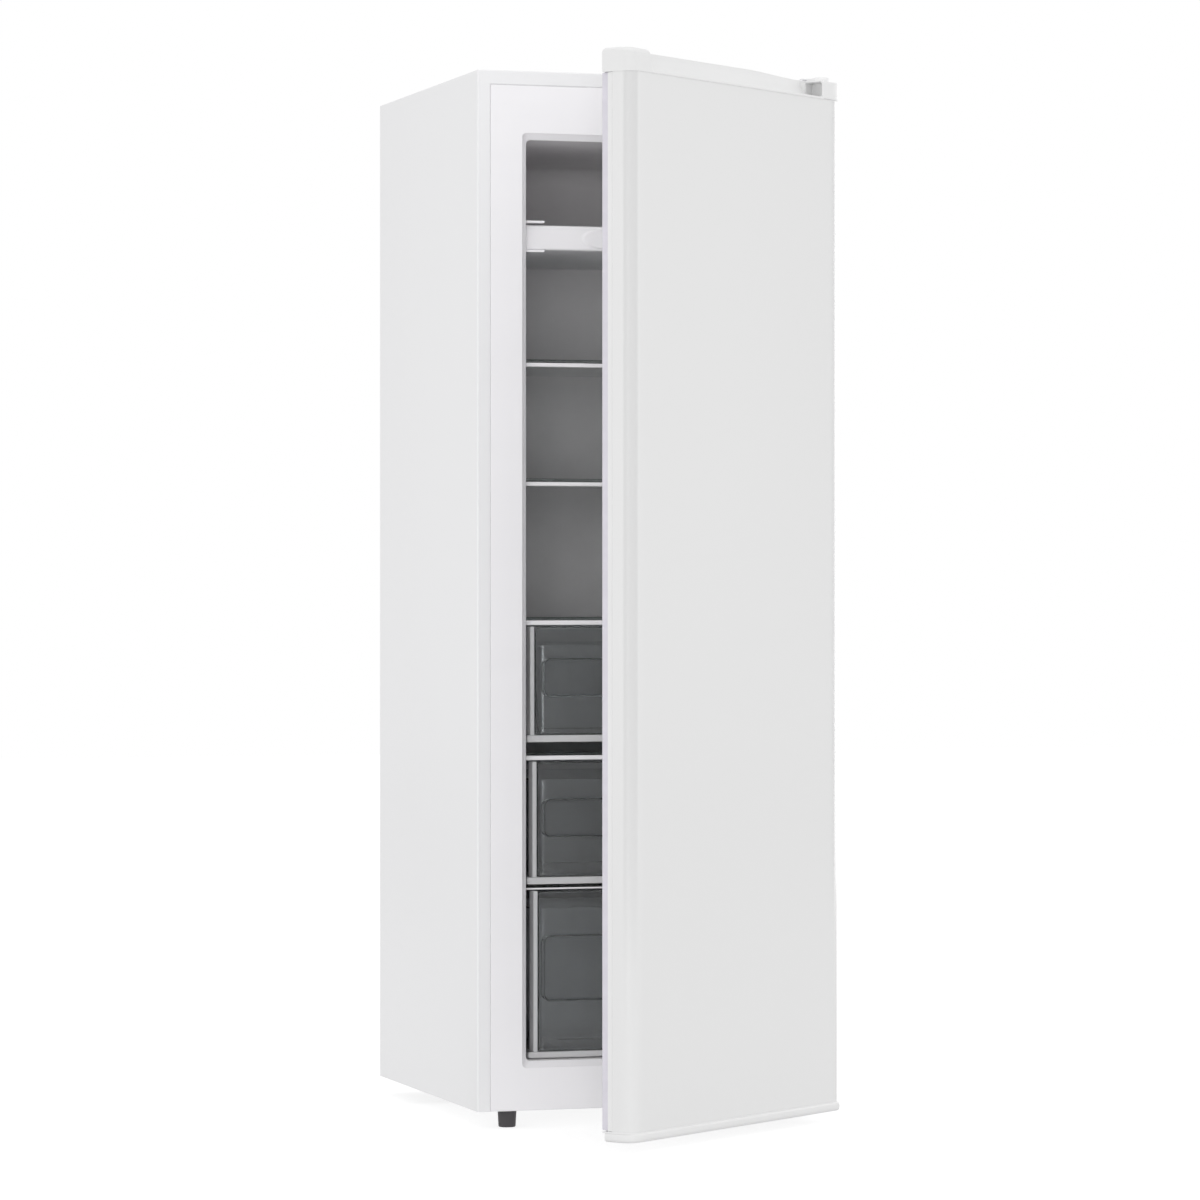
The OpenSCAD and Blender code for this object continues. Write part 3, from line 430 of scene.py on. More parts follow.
@dataclass(frozen=True)
class Foam(Surface):
    """Rigid foam with its closed cells and a glossy skin."""

    colour: Colour

    def sockets(self, recipe: Recipe) -> dict:
        """The inputs of the shader."""
        bubbles = recipe.cells(1.6)
        return {
            "Base Color": recipe.mix(recipe.noise(45.0, detail=3.0), shade(self.colour, 0.9), self.colour),
            "Roughness": 0.7 - 0.1 * bubbles,
            "Normal": recipe.bump(bubbles, depth_mm=0.3, strength=0.5),
        }


class Finish(Enum):
    """The finishes of the freezer: the record's slot, and the recipe."""

    ENAMEL = ("enamel", Enamel((0.9, 0.9, 0.91)))
    # The door's enamel is the cabinet's white painted darker: painted shade that tones down the lamp-lit
    # door.
    DOOR = ("enamel", Enamel((0.835, 0.835, 0.835), roughness=0.2, coat=0.6, index=1.9))
    # White plastic, painted a little lighter than its own colour: painted light that makes up for the shade
    # the open door casts on the frame.
    WHITE = ("white_plastic", Moulding((0.945, 0.935, 0.955)))
    # The same white plastic painted darker: painted shade that tones down the lit caps, the door's liner and
    # the hinge hood.
    SHADED_CAP = ("white_plastic", Moulding((0.85, 0.85, 0.85), roughness=0.32))
    LINER = ("liner_plastic", FormedSheet((0.88, 0.865, 0.875)))
    GLASS = ("glass", ClearPlastic((0.9, 0.96, 0.95), roughness=0.01, transmission=1.0, index=1.5))
    CLEAR = ("clear_plastic", ClearPlastic((0.93, 0.95, 0.96), roughness=0.03, transmission=0.97))
    # Frosted plastic whose pale tone also stands for the glow along the clear front's edges and bottom:
    # partly a painted highlight.
    FROSTED_HIGHLIGHT = ("clear_plastic", ClearPlastic((0.86, 0.86, 0.87), roughness=0.45, transmission=0.3))
    ZINC = ("zinc_sheet", SheetMetal((0.62, 0.63, 0.64)))
    SCREW = ("screw_steel", SheetMetal((0.55, 0.55, 0.56), roughness=0.26, spangle_mm=3.0, spangle=0.05))
    BLACK = ("black_shell", Enamel((0.012, 0.012, 0.013), roughness=0.34, peel_mm=1.8, coat=0.1))
    RUBBER = ("black_rubber", SoftSeal((0.018, 0.018, 0.019)))
    DARK = ("dark_plastic", Moulding((0.07, 0.066, 0.07), roughness=0.5, grain_depth=0.03))
    COPPER = ("copper", TubeMetal((0.72, 0.33, 0.2), tarnish=(0.3, 0.15, 0.1)))
    ALUMINIUM = ("aluminium", TubeMetal((0.75, 0.76, 0.77), tarnish=(0.55, 0.56, 0.57), roughness=0.35))
    SEAL = ("gasket", SoftSeal((0.66, 0.64, 0.7)))
    MAGNET = ("magnet", SoftSeal((0.03, 0.03, 0.032), roughness=0.7))
    FOAM = ("foam", Foam((0.76, 0.68, 0.46)))

    @property
    def slot(self) -> str:
        """The record's material slot."""
        return self.value[0]

    def material(self) -> bpy.types.Material:
        """The material, built the first time it is asked for."""
        name = "freezer_" + self.name.lower()
        return bpy.data.materials.get(name) or self.value[1].material(name)


# Surfaces


class Facing(Enum):
    """Which two axes an outline lies in, and which one it is carried along."""

    PLAN = (0, 1, 2)
    FRONT = (0, 2, 1)
    SIDE = (1, 2, 0)


def set_in(facing: Facing, outline: np.ndarray, along: np.ndarray) -> np.ndarray:
    """Puts outlines into space.

    Args:
        facing: The plane of the outlines.
        outline: Outlines as rows of (u, v) points, shape (rows, columns, 2).
        along: Place of each point along the third axis, broadcast to (rows, columns).

    Returns:
        Points of shape (rows, columns, 3).
    """
    points = np.zeros(outline.shape[:2] + (3,))
    u, v, w = facing.value
    points[..., u] = outline[..., 0]
    points[..., v] = outline[..., 1]
    points[..., w] = along
    return points


def rings(u: tuple, v: tuple, radius: object, steps: int = 8) -> np.ndarray:
    """Rounded rectangles: four quarter circles of a radius, joined by straight sides.

    Args:
        u: Low and high side, each a number or an array with one value for each ring.
        v: Low and high end, likewise.
        radius: Corner radius, likewise, kept above zero.
        steps: Steps round each corner.

    Returns:
        Points of shape (rings, 4 * (steps + 1), 2), anticlockwise.
    """
    u0, u1, v0, v1, r = (np.atleast_1d(np.asarray(a, float)) for a in (*u, *v, radius))
    u0, u1, v0, v1, r = np.broadcast_arrays(u0, u1, v0, v1, np.maximum(r, 0.02))
    turn = np.linspace(0.0, math.pi / 2, steps + 1)
    centres = ((u1 - r, v1 - r), (u0 + r, v1 - r), (u0 + r, v0 + r), (u1 - r, v0 + r))
    corners = []
    for quadrant, (cu, cv) in enumerate(centres):
        angle = turn + quadrant * math.pi / 2
        corners.append(np.stack([cu[:, None] + r[:, None] * np.cos(angle),
                                 cv[:, None] + r[:, None] * np.sin(angle)], axis=-1))
    return np.concatenate(corners, axis=1)


def inset_rings(half: float, v: tuple, inset: np.ndarray, radius: object, steps: int = 8) -> np.ndarray:
    """Rounded rectangles, centred across, that are inset by the same distance all round.

    Args:
        half: Half the width.
        v: Low and high end.
        inset: Inset of each ring, below zero where it is larger.
        radius: Corner radius, a number or one for each ring.
        steps: Steps round each corner.

    Returns:
        Points as rings gives them.
    """
    return rings((-half + inset, half - inset), (v[0] + inset, v[1] - inset), radius, steps)


def on_side(side: int, near: float, far: float) -> tuple:
    """The span between two distances from the middle, on the left or the right.

    Args:
        side: -1 for the left, 1 for the right.
        near: One distance.
        far: The other distance.

    Returns:
        The span's low and high end.
    """
    return tuple(sorted((side * near, side * far)))


def rolled(distance: np.ndarray, radius: object) -> np.ndarray:
    """How far a surface has rolled down at a distance from its border.

    Args:
        distance: Distance from the border.
        radius: Radius of the quarter circle.

    Returns:
        The fall: the radius at the border, and nothing from the radius on.
    """
    left = radius - np.clip(distance, 0.0, radius)
    return radius - np.sqrt(np.maximum(radius ** 2 - left ** 2, 0.0))


def filleted(corners: np.ndarray, radii: np.ndarray, closed: bool, steps: int = 6) -> np.ndarray:
    """Outlines of right-angled corners, each turned by a quarter circle.

    A corner P between directions d and e becomes P - d r + e r, less e r cos a, plus d r sin a.

    Args:
        corners: Corner points, shape (rows, corners, 2).
        radii: Radius at each corner, shape (rows, corners).
        closed: Whether the last corner joins the first. An open outline keeps its two ends sharp.
        steps: Steps round each corner.

    Returns:
        Points of shape (rows, columns, 2).
    """
    before = corners - np.roll(corners, 1, axis=1)
    after = np.roll(corners, -1, axis=1) - corners
    before = before / np.linalg.norm(before, axis=-1, keepdims=True)
    after = after / np.linalg.norm(after, axis=-1, keepdims=True)
    turn = np.linspace(0.0, math.pi / 2, steps + 1)[None, None, :, None]
    r = np.maximum(radii, 0.01)[..., None, None]
    d = before[:, :, None, :]
    e = after[:, :, None, :]
    arcs = corners[:, :, None, :] - d * r + e * r - e * r * np.cos(turn) + d * r * np.sin(turn)
    if closed:
        return arcs.reshape(len(corners), -1, 2)
    middle = arcs[:, 1:-1].reshape(len(corners), -1, 2)
    return np.concatenate([corners[:, :1], middle, corners[:, -1:]], axis=1)


def quarter(edge: float, steps: int = 4) -> tuple[np.ndarray, np.ndarray]:
    """A quarter circle that rolls an edge over.

    Args:
        edge: Radius of the edge.
        steps: Steps round it.

    Returns:
        Inset from the side, from the radius down to zero, and the rise, from zero up to the radius.
    """
    turn = np.linspace(0.0, math.pi / 2, steps + 1)
    return edge * (1 - np.sin(turn)), edge * (1 - np.cos(turn))


def smooth_step(t: np.ndarray) -> np.ndarray:
    """The cubic 3 t t - 2 t t t.

    Args:
        t: Values, which are clamped to between zero and one.

    Returns:
        The steps, from zero to one.
    """
    t = np.clip(t, 0.0, 1.0)
    return t * t * (3 - 2 * t)


@dataclass
class Piece:
    """A piece in the making: points and faces gathered from several surfaces."""

    name: str
    finish: Finish
    body: str = "cabinet"
    points: list = field(default_factory=list)
    faces: list = field(default_factory=list)
    count: int = 0

    def grid(self, points: np.ndarray, ring: bool = False, loop: bool = False, ends: bool = False,
             sides: bool = False, last: bool = False) -> "Piece":
        """Adds a surface given as rows and columns of points.

        Args:
            points: Points of shape (rows, columns, 3).
            ring: The last column joins the first.
            loop: The last row joins the first.
            ends: The first and last rows are closed with a face each.
            sides: The first and last columns are closed with a face each.
            last: Only the last row is closed with a face.

        Returns:
            The piece itself.
        """
        rows, columns = points.shape[:2]
        index = self.count + np.arange(rows * columns).reshape(rows, columns)
        quads = np.stack([index, np.roll(index, -1, 1), np.roll(np.roll(index, -1, 0), -1, 1),
                          np.roll(index, -1, 0)], axis=-1)
        quads = quads[: rows if loop else rows - 1, : columns if ring else columns - 1]
        self.faces += quads.reshape(-1, 4).tolist()
        if ends:
            self.faces += [index[0, ::-1].tolist(), index[-1].tolist()]
        if sides:
            self.faces += [index[:, 0].tolist(), index[::-1, -1].tolist()]
        if last:
            self.faces.append(index[-1].tolist())
        self.points.append(points.reshape(-1, 3))
        self.count += rows * columns
        return self

    def loft(self, facing: Facing, outline: np.ndarray, along: object, **closing: bool) -> "Piece":
        """Adds outlines that follow each other along an axis.

        Args:
            facing: The plane of the outlines.
            outline: Outlines of shape (rows, columns, 2), or one that serves for every row.
            along: Place of each outline along the third axis.
            closing: How the surface is closed, as for grid.

        Returns:
            The piece itself.
        """
        places = np.asarray(along, float)[:, None]
        rows = np.broadcast_to(outline, (len(places), *outline.shape[-2:]))
        return self.grid(set_in(facing, rows, places), **closing)

    def slab(self, facing: Facing, u: tuple, v: tuple, w: tuple, radius: float, edge: float) -> "Piece":
        """Adds a plate with rounded corners and edges rolled over by a quarter circle.

        Args:
            facing: The plane of the plate's outline.
            u: Its low and high side.
            v: Its low and high end.
            w: Its extent along the third axis.
            radius: Corner radius of the outline, at least the edge's.
            edge: Radius of the edges.

        Returns:
            The piece itself.
        """
        inset, rise = quarter(edge, steps=3)
        inset = np.concatenate([inset, inset[::-1]])
        along = np.concatenate([w[0] + rise, w[1] - rise[::-1]])
        outline = rings((u[0] + inset, u[1] - inset), (v[0] + inset, v[1] - inset),
                        max(radius, edge) - inset, steps=5)
        return self.loft(facing, outline, along, ring=True, ends=True)

    def bar(self, facing: Facing, corners: list, radii: list, w: tuple) -> "Piece":
        """Adds a bar of a right-angled section.

        Args:
            facing: The plane of the section.
            corners: The section's corners in order.
            radii: Radius at each corner.
            w: The bar's extent along the third axis.

        Returns:
            The piece itself.
        """
        section = filleted(np.asarray([corners], float), np.asarray([radii], float), closed=True, steps=4)
        return self.loft(facing, section, w, ring=True, ends=True)

    def turned(self, centre: tuple, profile: list, facing: Facing = Facing.PLAN, steps: int = 48,
               flutes: int = 0, flute_depth: float = 0.0, fluted: tuple = (0, 0)) -> "Piece":
        """Adds a turned body: radii along an axis, with optional flutes (1 + cos) / 2 round it.

        Args:
            centre: The axis's place in the outline's plane, and the start along the axis.
            profile: (radius, distance along the axis), from one end to the other.
            facing: The plane that the circles lie in.
            steps: Points round the axis.
            flutes: Number of flutes.
            flute_depth: Depth of the flutes.
            fluted: Rows of the profile between which the flutes run.

        Returns:
            The piece itself.
        """
        shape = np.asarray(profile, float)
        angle = np.arange(steps) * 2 * math.pi / steps
        radius = np.repeat(shape[:, :1], steps, axis=1)
        if flutes:
            dent = flute_depth * (1 + np.cos(flutes * angle)) / 2
            radius[fluted[0]:fluted[1]] -= dent[None, :]
        outline = np.stack([centre[0] + radius * np.cos(angle), centre[1] + radius * np.sin(angle)], axis=-1)
        return self.loft(facing, outline, centre[2] + shape[:, 1], ring=True, ends=True)

    def build(self, replaces: tuple = (), hung: bool = False, wall: float = 0.0,
              inside: tuple | None = None, sharp: float = 38.0) -> bpy.types.Object:
        """Makes the mesh, dresses it and lets it ride on its body.

        Args:
            replaces: Names of the nodes that the piece stands for.
            hung: Whether the piece is drawn on the closed door.
            wall: Thickness given to an open surface, away from its visible side.
            inside: A point that an open surface's visible side faces.
            sharp: Angle in degrees above which an edge stays sharp.

        Returns:
            The finished object.
        """
        points = np.concatenate(self.points)
        if hung:
            points = swing(points)
        mesh = bpy.data.meshes.new(self.name)
        mesh.from_pydata(to_row(points), [], self.faces)
        shape = bmesh.new()
        shape.from_mesh(mesh)
        bmesh.ops.remove_doubles(shape, verts=shape.verts, dist=2e-6)
        bmesh.ops.dissolve_degenerate(shape, edges=shape.edges, dist=1e-6)
        bmesh.ops.recalc_face_normals(shape, faces=shape.faces)
        if inside is not None:
            eye = np.asarray([inside], float)
            target = Vector(to_row(swing(eye) if hung else eye)[0])
            seen = sum(f.calc_area() * f.normal.dot((target - f.calc_center_median()).normalized())
                       for f in shape.faces)
            if seen < 0:
                bmesh.ops.reverse_faces(shape, faces=shape.faces)
        shape.to_mesh(mesh)
        shape.free()
        mesh.polygons.foreach_set("use_smooth", [True] * len(mesh.polygons))
        mesh.set_sharp_from_angle(angle=math.radians(sharp))
        mesh.materials.append(self.finish.material())
        made = placed(self.name, mesh)
        if wall:
            solid = made.modifiers.new("wall", "SOLIDIFY")
            solid.thickness = wall / 1000.0
            solid.offset = -1.0
            solid.use_even_offset = True
        normals = made.modifiers.new("flat faces first", "WEIGHTED_NORMAL")
        normals.keep_sharp = True
        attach(made, self.body)
        if replaces:
            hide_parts(*replaces)
        LOG.info("%s: %d faces on %s", self.name, len(mesh.polygons), self.body)
        return made


def placed(name: str, data: bpy.types.ID) -> bpy.types.Object:
    """Puts an object into the scene.

    Args:
        name: Its name.
        data: Its mesh, light or camera.

    Returns:
        The object.
    """
    made = bpy.data.objects.new(name, data)
    bpy.context.scene.collection.objects.link(made)
    return made


def swing(points: np.ndarray) -> np.ndarray:
    """Turns points of the closed door about the hinge to where the door stands.

    Args:
        points: Points of shape (n, 3), in cabinet coordinates.

    Returns:
        The turned points.
    """
    dx = points[:, 0] - HINGE[0]
    dy = points[:, 1] - HINGE[1]
    turned = points.copy()
    turned[:, 0] = HINGE[0] + dx * math.cos(DOOR_ANGLE) - dy * math.sin(DOOR_ANGLE)
    turned[:, 1] = HINGE[1] + dx * math.sin(DOOR_ANGLE) + dy * math.cos(DOOR_ANGLE)
    return turned


def to_row(points: np.ndarray) -> np.ndarray:
    """Moves cabinet coordinates onto the feet, in metres.

    Args:
        points: Points of shape (n, 3), in millimetres.

    Returns:
        The points in the frame's coordinates.
    """
    return (points + np.array([0.0, -CABINET_HALF_DEPTH, FOOT_HEIGHT])) / 1000.0


# Sub-assemblies


@dataclass
class Cabinet:
    """The steel body, its front frame and the liner."""

    half: float = 245.0
    depth: float = 510.0
    height: float = 1400.0
    sheet: float = 0.8
    strip: float = 17.0
    strip_top: float = 18.5
    rear_fold: float = 14.0
    bend: float = 1.6
    groove: float = 1.2
    frame_depth: float = 11.0
    frame_foot: float = 0.8
    gutter: float = 1.6
    mouth_half: float = 174.0
    mouth: tuple = (66.0, 1308.0)
    mouth_radius: float = 6.0
    bevel: float = 9.0
    bevel_round: float = 2.0
    bevel_start: tuple = ((0.0, 0.0), (0.4, 0.8), (1.0, 1.8))
    back: float = 440.0
    step: tuple = (300.0, 263.0)
    concave: float = 26.0
    tight: float = 8.0
    convex: float = 10.0

    def make_shell(self) -> None:
        """The folded sheet: a section with rolled folds, carried up one side, over the top and down."""
        inset, rise = quarter(self.bend)
        inner, inner_rise = quarter(self.bend - self.sheet)
        side = np.concatenate([[self.strip], inset, inset[::-1], [self.rear_fold], [self.rear_fold],
                               self.sheet + inner, self.sheet + inner[::-1], [self.strip]])
        top = side.copy()
        top[[0, -1]] = self.strip_top
        inside = self.depth - self.sheet
        y = np.concatenate([[0.0], rise, self.depth - rise[::-1], [self.depth], [inside], inside - inner_rise,
                            self.sheet + inner_rise[::-1], [self.sheet]])
        corners = np.zeros((len(side), 4, 2))
        corners[:, 0] = np.stack([-self.half + side, np.zeros_like(side)], axis=-1)
        corners[:, 1] = np.stack([-self.half + side, self.height - top], axis=-1)
        corners[:, 2] = np.stack([self.half - side, self.height - top], axis=-1)
        corners[:, 3] = np.stack([self.half - side, np.zeros_like(side)], axis=-1)
        radii = np.repeat(np.maximum(self.bend - side, 0.05)[:, None], 4, axis=1)
        path = filleted(corners, radii, closed=False, steps=5)
        piece = Piece("cabinet_sheet", Finish.ENAMEL)
        piece.loft(Facing.FRONT, path, y, loop=True, sides=True)
        piece.build(("outer_shell",))

    def make_frame(self) -> None:
        """The moulded ring: from the mouth over the bevel and the face to the groove and the flange."""
        inset, rise = quarter(self.bevel_round)
        start, fall = np.array(self.bevel_start).T
        grow = np.concatenate([start, self.bevel + 1.5 - inset[::-1]])
        depth = np.concatenate([self.frame_depth - fall, rise[::-1] * 0.8])
        near = inset_rings(self.mouth_half, self.mouth, -grow, self.mouth_radius)
        soft = np.array([0.9, 0.25, 0.0, 0.0, 0.0, 0.0])
        side, lintel = self.half - self.strip - self.groove, self.height - self.strip_top - self.groove
        half = np.array([side] * 4 + [self.half - self.sheet] * 2) - soft
        top = np.array([lintel] * 4 + [self.height - self.sheet] * 2) - soft
        y = np.array([0.0, 0.3, 0.9, self.gutter, self.gutter, self.frame_depth])
        far = rings((-half, half), (self.frame_foot + soft, top), 1.2)
        piece = Piece("front_frame_moulding", Finish.WHITE)
        piece.loft(Facing.FRONT, np.concatenate([near, far]), np.concatenate([depth, y]),
                   ring=True, loop=True)
        piece.build(("front_frame",))

    def make_liner(self) -> None:
        """The tub: its side view is carried across, and rolls into the side walls by a quarter circle."""
        inset, rise = quarter(self.mouth_radius, steps=6)
        inset = np.concatenate([inset, inset[::-1]])
        across = np.concatenate([-self.mouth_half + rise, self.mouth_half - rise[::-1]])
        lead = np.full_like(inset, self.frame_depth)
        low = self.mouth[0] + inset
        high = self.mouth[1] - inset
        back = self.back - inset
        step_y = self.step[0] - inset
        step_z = self.step[1] + inset
        places = ((lead, low), (step_y, low), (step_y, step_z), (back, step_z), (back, high), (lead, high))
        corners = np.stack([np.stack(place, axis=-1) for place in places], axis=1)
        wide = self.concave - inset
        radii = np.stack([wide, self.tight - inset, self.convex + inset, wide, wide, wide], axis=1)
        side_view = filleted(corners, radii, closed=False, steps=6)
        piece = Piece("liner_tub", Finish.LINER)
        piece.loft(Facing.SIDE, side_view, across, ends=True)
        piece.build(("inner_liner",), wall=1.9, inside=(0.0, 150.0, 700.0))

    def make(self) -> None:
        """Builds the cabinet's pieces."""
        self.make_shell()
        self.make_frame()
        self.make_liner()


@dataclass
class Shelves:
    """Glass panes, their front trims, and the bars that carry them."""

    pane_z: tuple = (1008.8, 847.5, 660.0, 476.8, 297.9)
    trim_height: tuple = (5.4, 5.5, 6.4, 6.1, 2.4)
    pane: float = 4.5
    half: float = 173.0
    front: float = 28.0
    trim: float = 14.0
    back: float = 430.0
    bar: tuple = (164.0, 174.0)
    bar_height: float = 6.0
    bar_back: float = 439.5

    def make(self) -> None:
        """Builds the panes and the trims, each a plate with rolled edges, and the bars."""
        across = (-self.half, self.half)
        for i, z in enumerate(self.pane_z, start=1):
            pane = Piece(f"glass_pane_{i}", Finish.GLASS)
            pane.slab(Facing.PLAN, across, (self.front + 2, self.back), (z, z + self.pane),
                      radius=3.0, edge=0.7)
            pane.build((f"shelf_pane_{i}",))
            trim = Piece(f"shelf_edge_{i}", Finish.WHITE)
            low = z - self.trim_height[i - 1]
            trim.slab(Facing.SIDE, (self.front, self.front + self.trim), (low, z), across,
                      radius=1.1, edge=0.9)
            trim.build((f"shelf_trim_{i}",))
        bars = Piece("shelf_bars", Finish.LINER)
        for z in self.pane_z:
            for side in (-1, 1):
                bars.slab(Facing.FRONT, on_side(side, *self.bar), (z - self.bar_height, z),
                          (self.front + self.trim, self.bar_back), radius=1.6, edge=1.4)
        bars.build(("shelf_supports",))


@dataclass
class TopTray:
    """The shallow tray under the top compartment, and its two rails."""

    half: float = 170.0
    front: float = 26.0
    length: float = 370.0
    low: float = 1161.3
    height: float = 33.5
    wall: float = 2.5
    lean: float = 3.0
    floor_round: float = 5.0
    inner_share: float = 0.6
    rim_drop: float = 1.0
    rim_rise: float = 0.5
    fascia: float = 7.0
    corner: float = 14.0
    tight: float = 2.0
    border: float = 3.0
    oval: tuple = (90.5, 14.5)
    oval_end: float = 36.0
    oval_rise: float = 1.8
    oval_wall: float = 0.17
    mouth_half: float = 174.0
    reach: float = 29.0
    rail: float = 3.0
    rail_gap: tuple = (0.3, 2.6)
    rail_back: float = 430.0
    rail_radii: tuple = (0.3, 1.3, 1.3, 1.5, 1.5, 1.3, 1.3, 0.3)

    def make_tub(self) -> None:
        """The tub: up the leaning outside, over a rolled rim and down the inside to the floor."""
        top = self.low + self.height - self.rim_drop
        inset, rise = quarter(self.floor_round)
        rim = np.linspace(0, math.pi, 9)
        thick = self.lean + self.wall
        offset = np.concatenate([self.lean + inset, [0.2], self.wall / 2 * (1 - np.cos(rim)), [thick],
                                 thick + (self.floor_round - inset[::-1]) * self.inner_share])
        z = np.concatenate([self.low + rise, [top - 3.0], top - self.rim_rise * (1 - np.sin(rim)),
                            [self.low + self.wall + 4.0],
                            self.low + self.wall + rise[::-1] * self.inner_share])
        y = (self.front + self.fascia - 3.0, self.front + self.length)
        outline = inset_rings(self.half, y, offset, np.maximum(self.corner - offset, self.tight))
        piece = Piece("tray_tub", Finish.WHITE, "top_tray")
        piece.loft(Facing.PLAN, outline, z, ring=True, ends=True)
        piece.build(("top_tray",))

    def make_fascia(self) -> None:
        """The front: a height field with rolled borders and a raised oval pad for the fingers.

        The pad is a smooth step of 1 - u^2 - (z / b)^2, where u grows from zero to one over each rounded end.
        The front's border rolls back by a quarter circle.
        """
        x = np.concatenate([-self.half + np.linspace(0, 4, 7), np.linspace(-160, 160, 161),
                            self.half - np.linspace(4, 0, 7)])
        z = np.concatenate([np.linspace(0, 3, 6), np.linspace(3.6, self.height - 3.6, 34),
                            self.height - np.linspace(3, 0, 6)])
        gx, gz = np.meshgrid(x, z)
        rise = gz - self.height / 2
        end = np.maximum(np.abs(gx) - self.oval[0] + self.oval_end, 0) / self.oval_end
        oval = 1 - end ** 2 - (rise / self.oval[1]) ** 2
        pad = self.oval_rise * smooth_step(oval / self.oval_wall)
        near = np.minimum(np.minimum(self.half - np.abs(gx), gz), self.height - gz)
        y = self.front - pad + rolled(near, self.border)
        piece = Piece("tray_fascia", Finish.WHITE, "top_tray")
        front = np.stack([gx, y, self.low + gz], axis=-1)
        back = front.copy()
        back[..., 1] = np.maximum(self.front + self.fascia, y + 1.5)
        piece.grid(front)
        piece.grid(back)
        rim = np.concatenate([np.arange(len(x)), (np.arange(1, len(z)) * len(x)) + len(x) - 1,
                              (len(z) - 1) * len(x) + np.arange(len(x) - 2, -1, -1),
                              np.arange(len(z) - 2, 0, -1) * len(x)])
        loop = np.stack([front.reshape(-1, 3)[rim], back.reshape(-1, 3)[rim]])
        piece.grid(loop, ring=True)
        piece.build(("top_tray",), sharp=50.0)

    def make_rails(self) -> None:
        """The rails: a C section with rounded corners, carried from front to back."""
        low = self.low - self.rail_gap[0] - self.rail
        high = self.low + self.height + self.rail_gap[1] + self.rail
        for side, name in ((-1, "left"), (1, "right")):
            wall = side * self.mouth_half
            tip = side * (self.mouth_half - self.reach)
            web = side * (self.mouth_half - self.rail)
            corners = [(wall, low), (tip, low), (tip, low + self.rail), (web, low + self.rail),
                       (web, high - self.rail), (tip, high - self.rail), (tip, high), (wall, high)]
            piece = Piece(f"tray_runner_{name}", Finish.WHITE)
            piece.bar(Facing.FRONT, corners, self.rail_radii, (self.front - 6, self.rail_back))
            piece.build((f"tray_rail_{name}",))

    def make(self) -> None:
        """Builds the tray and its rails."""
        self.make_tub()
        self.make_fascia()
        self.make_rails()


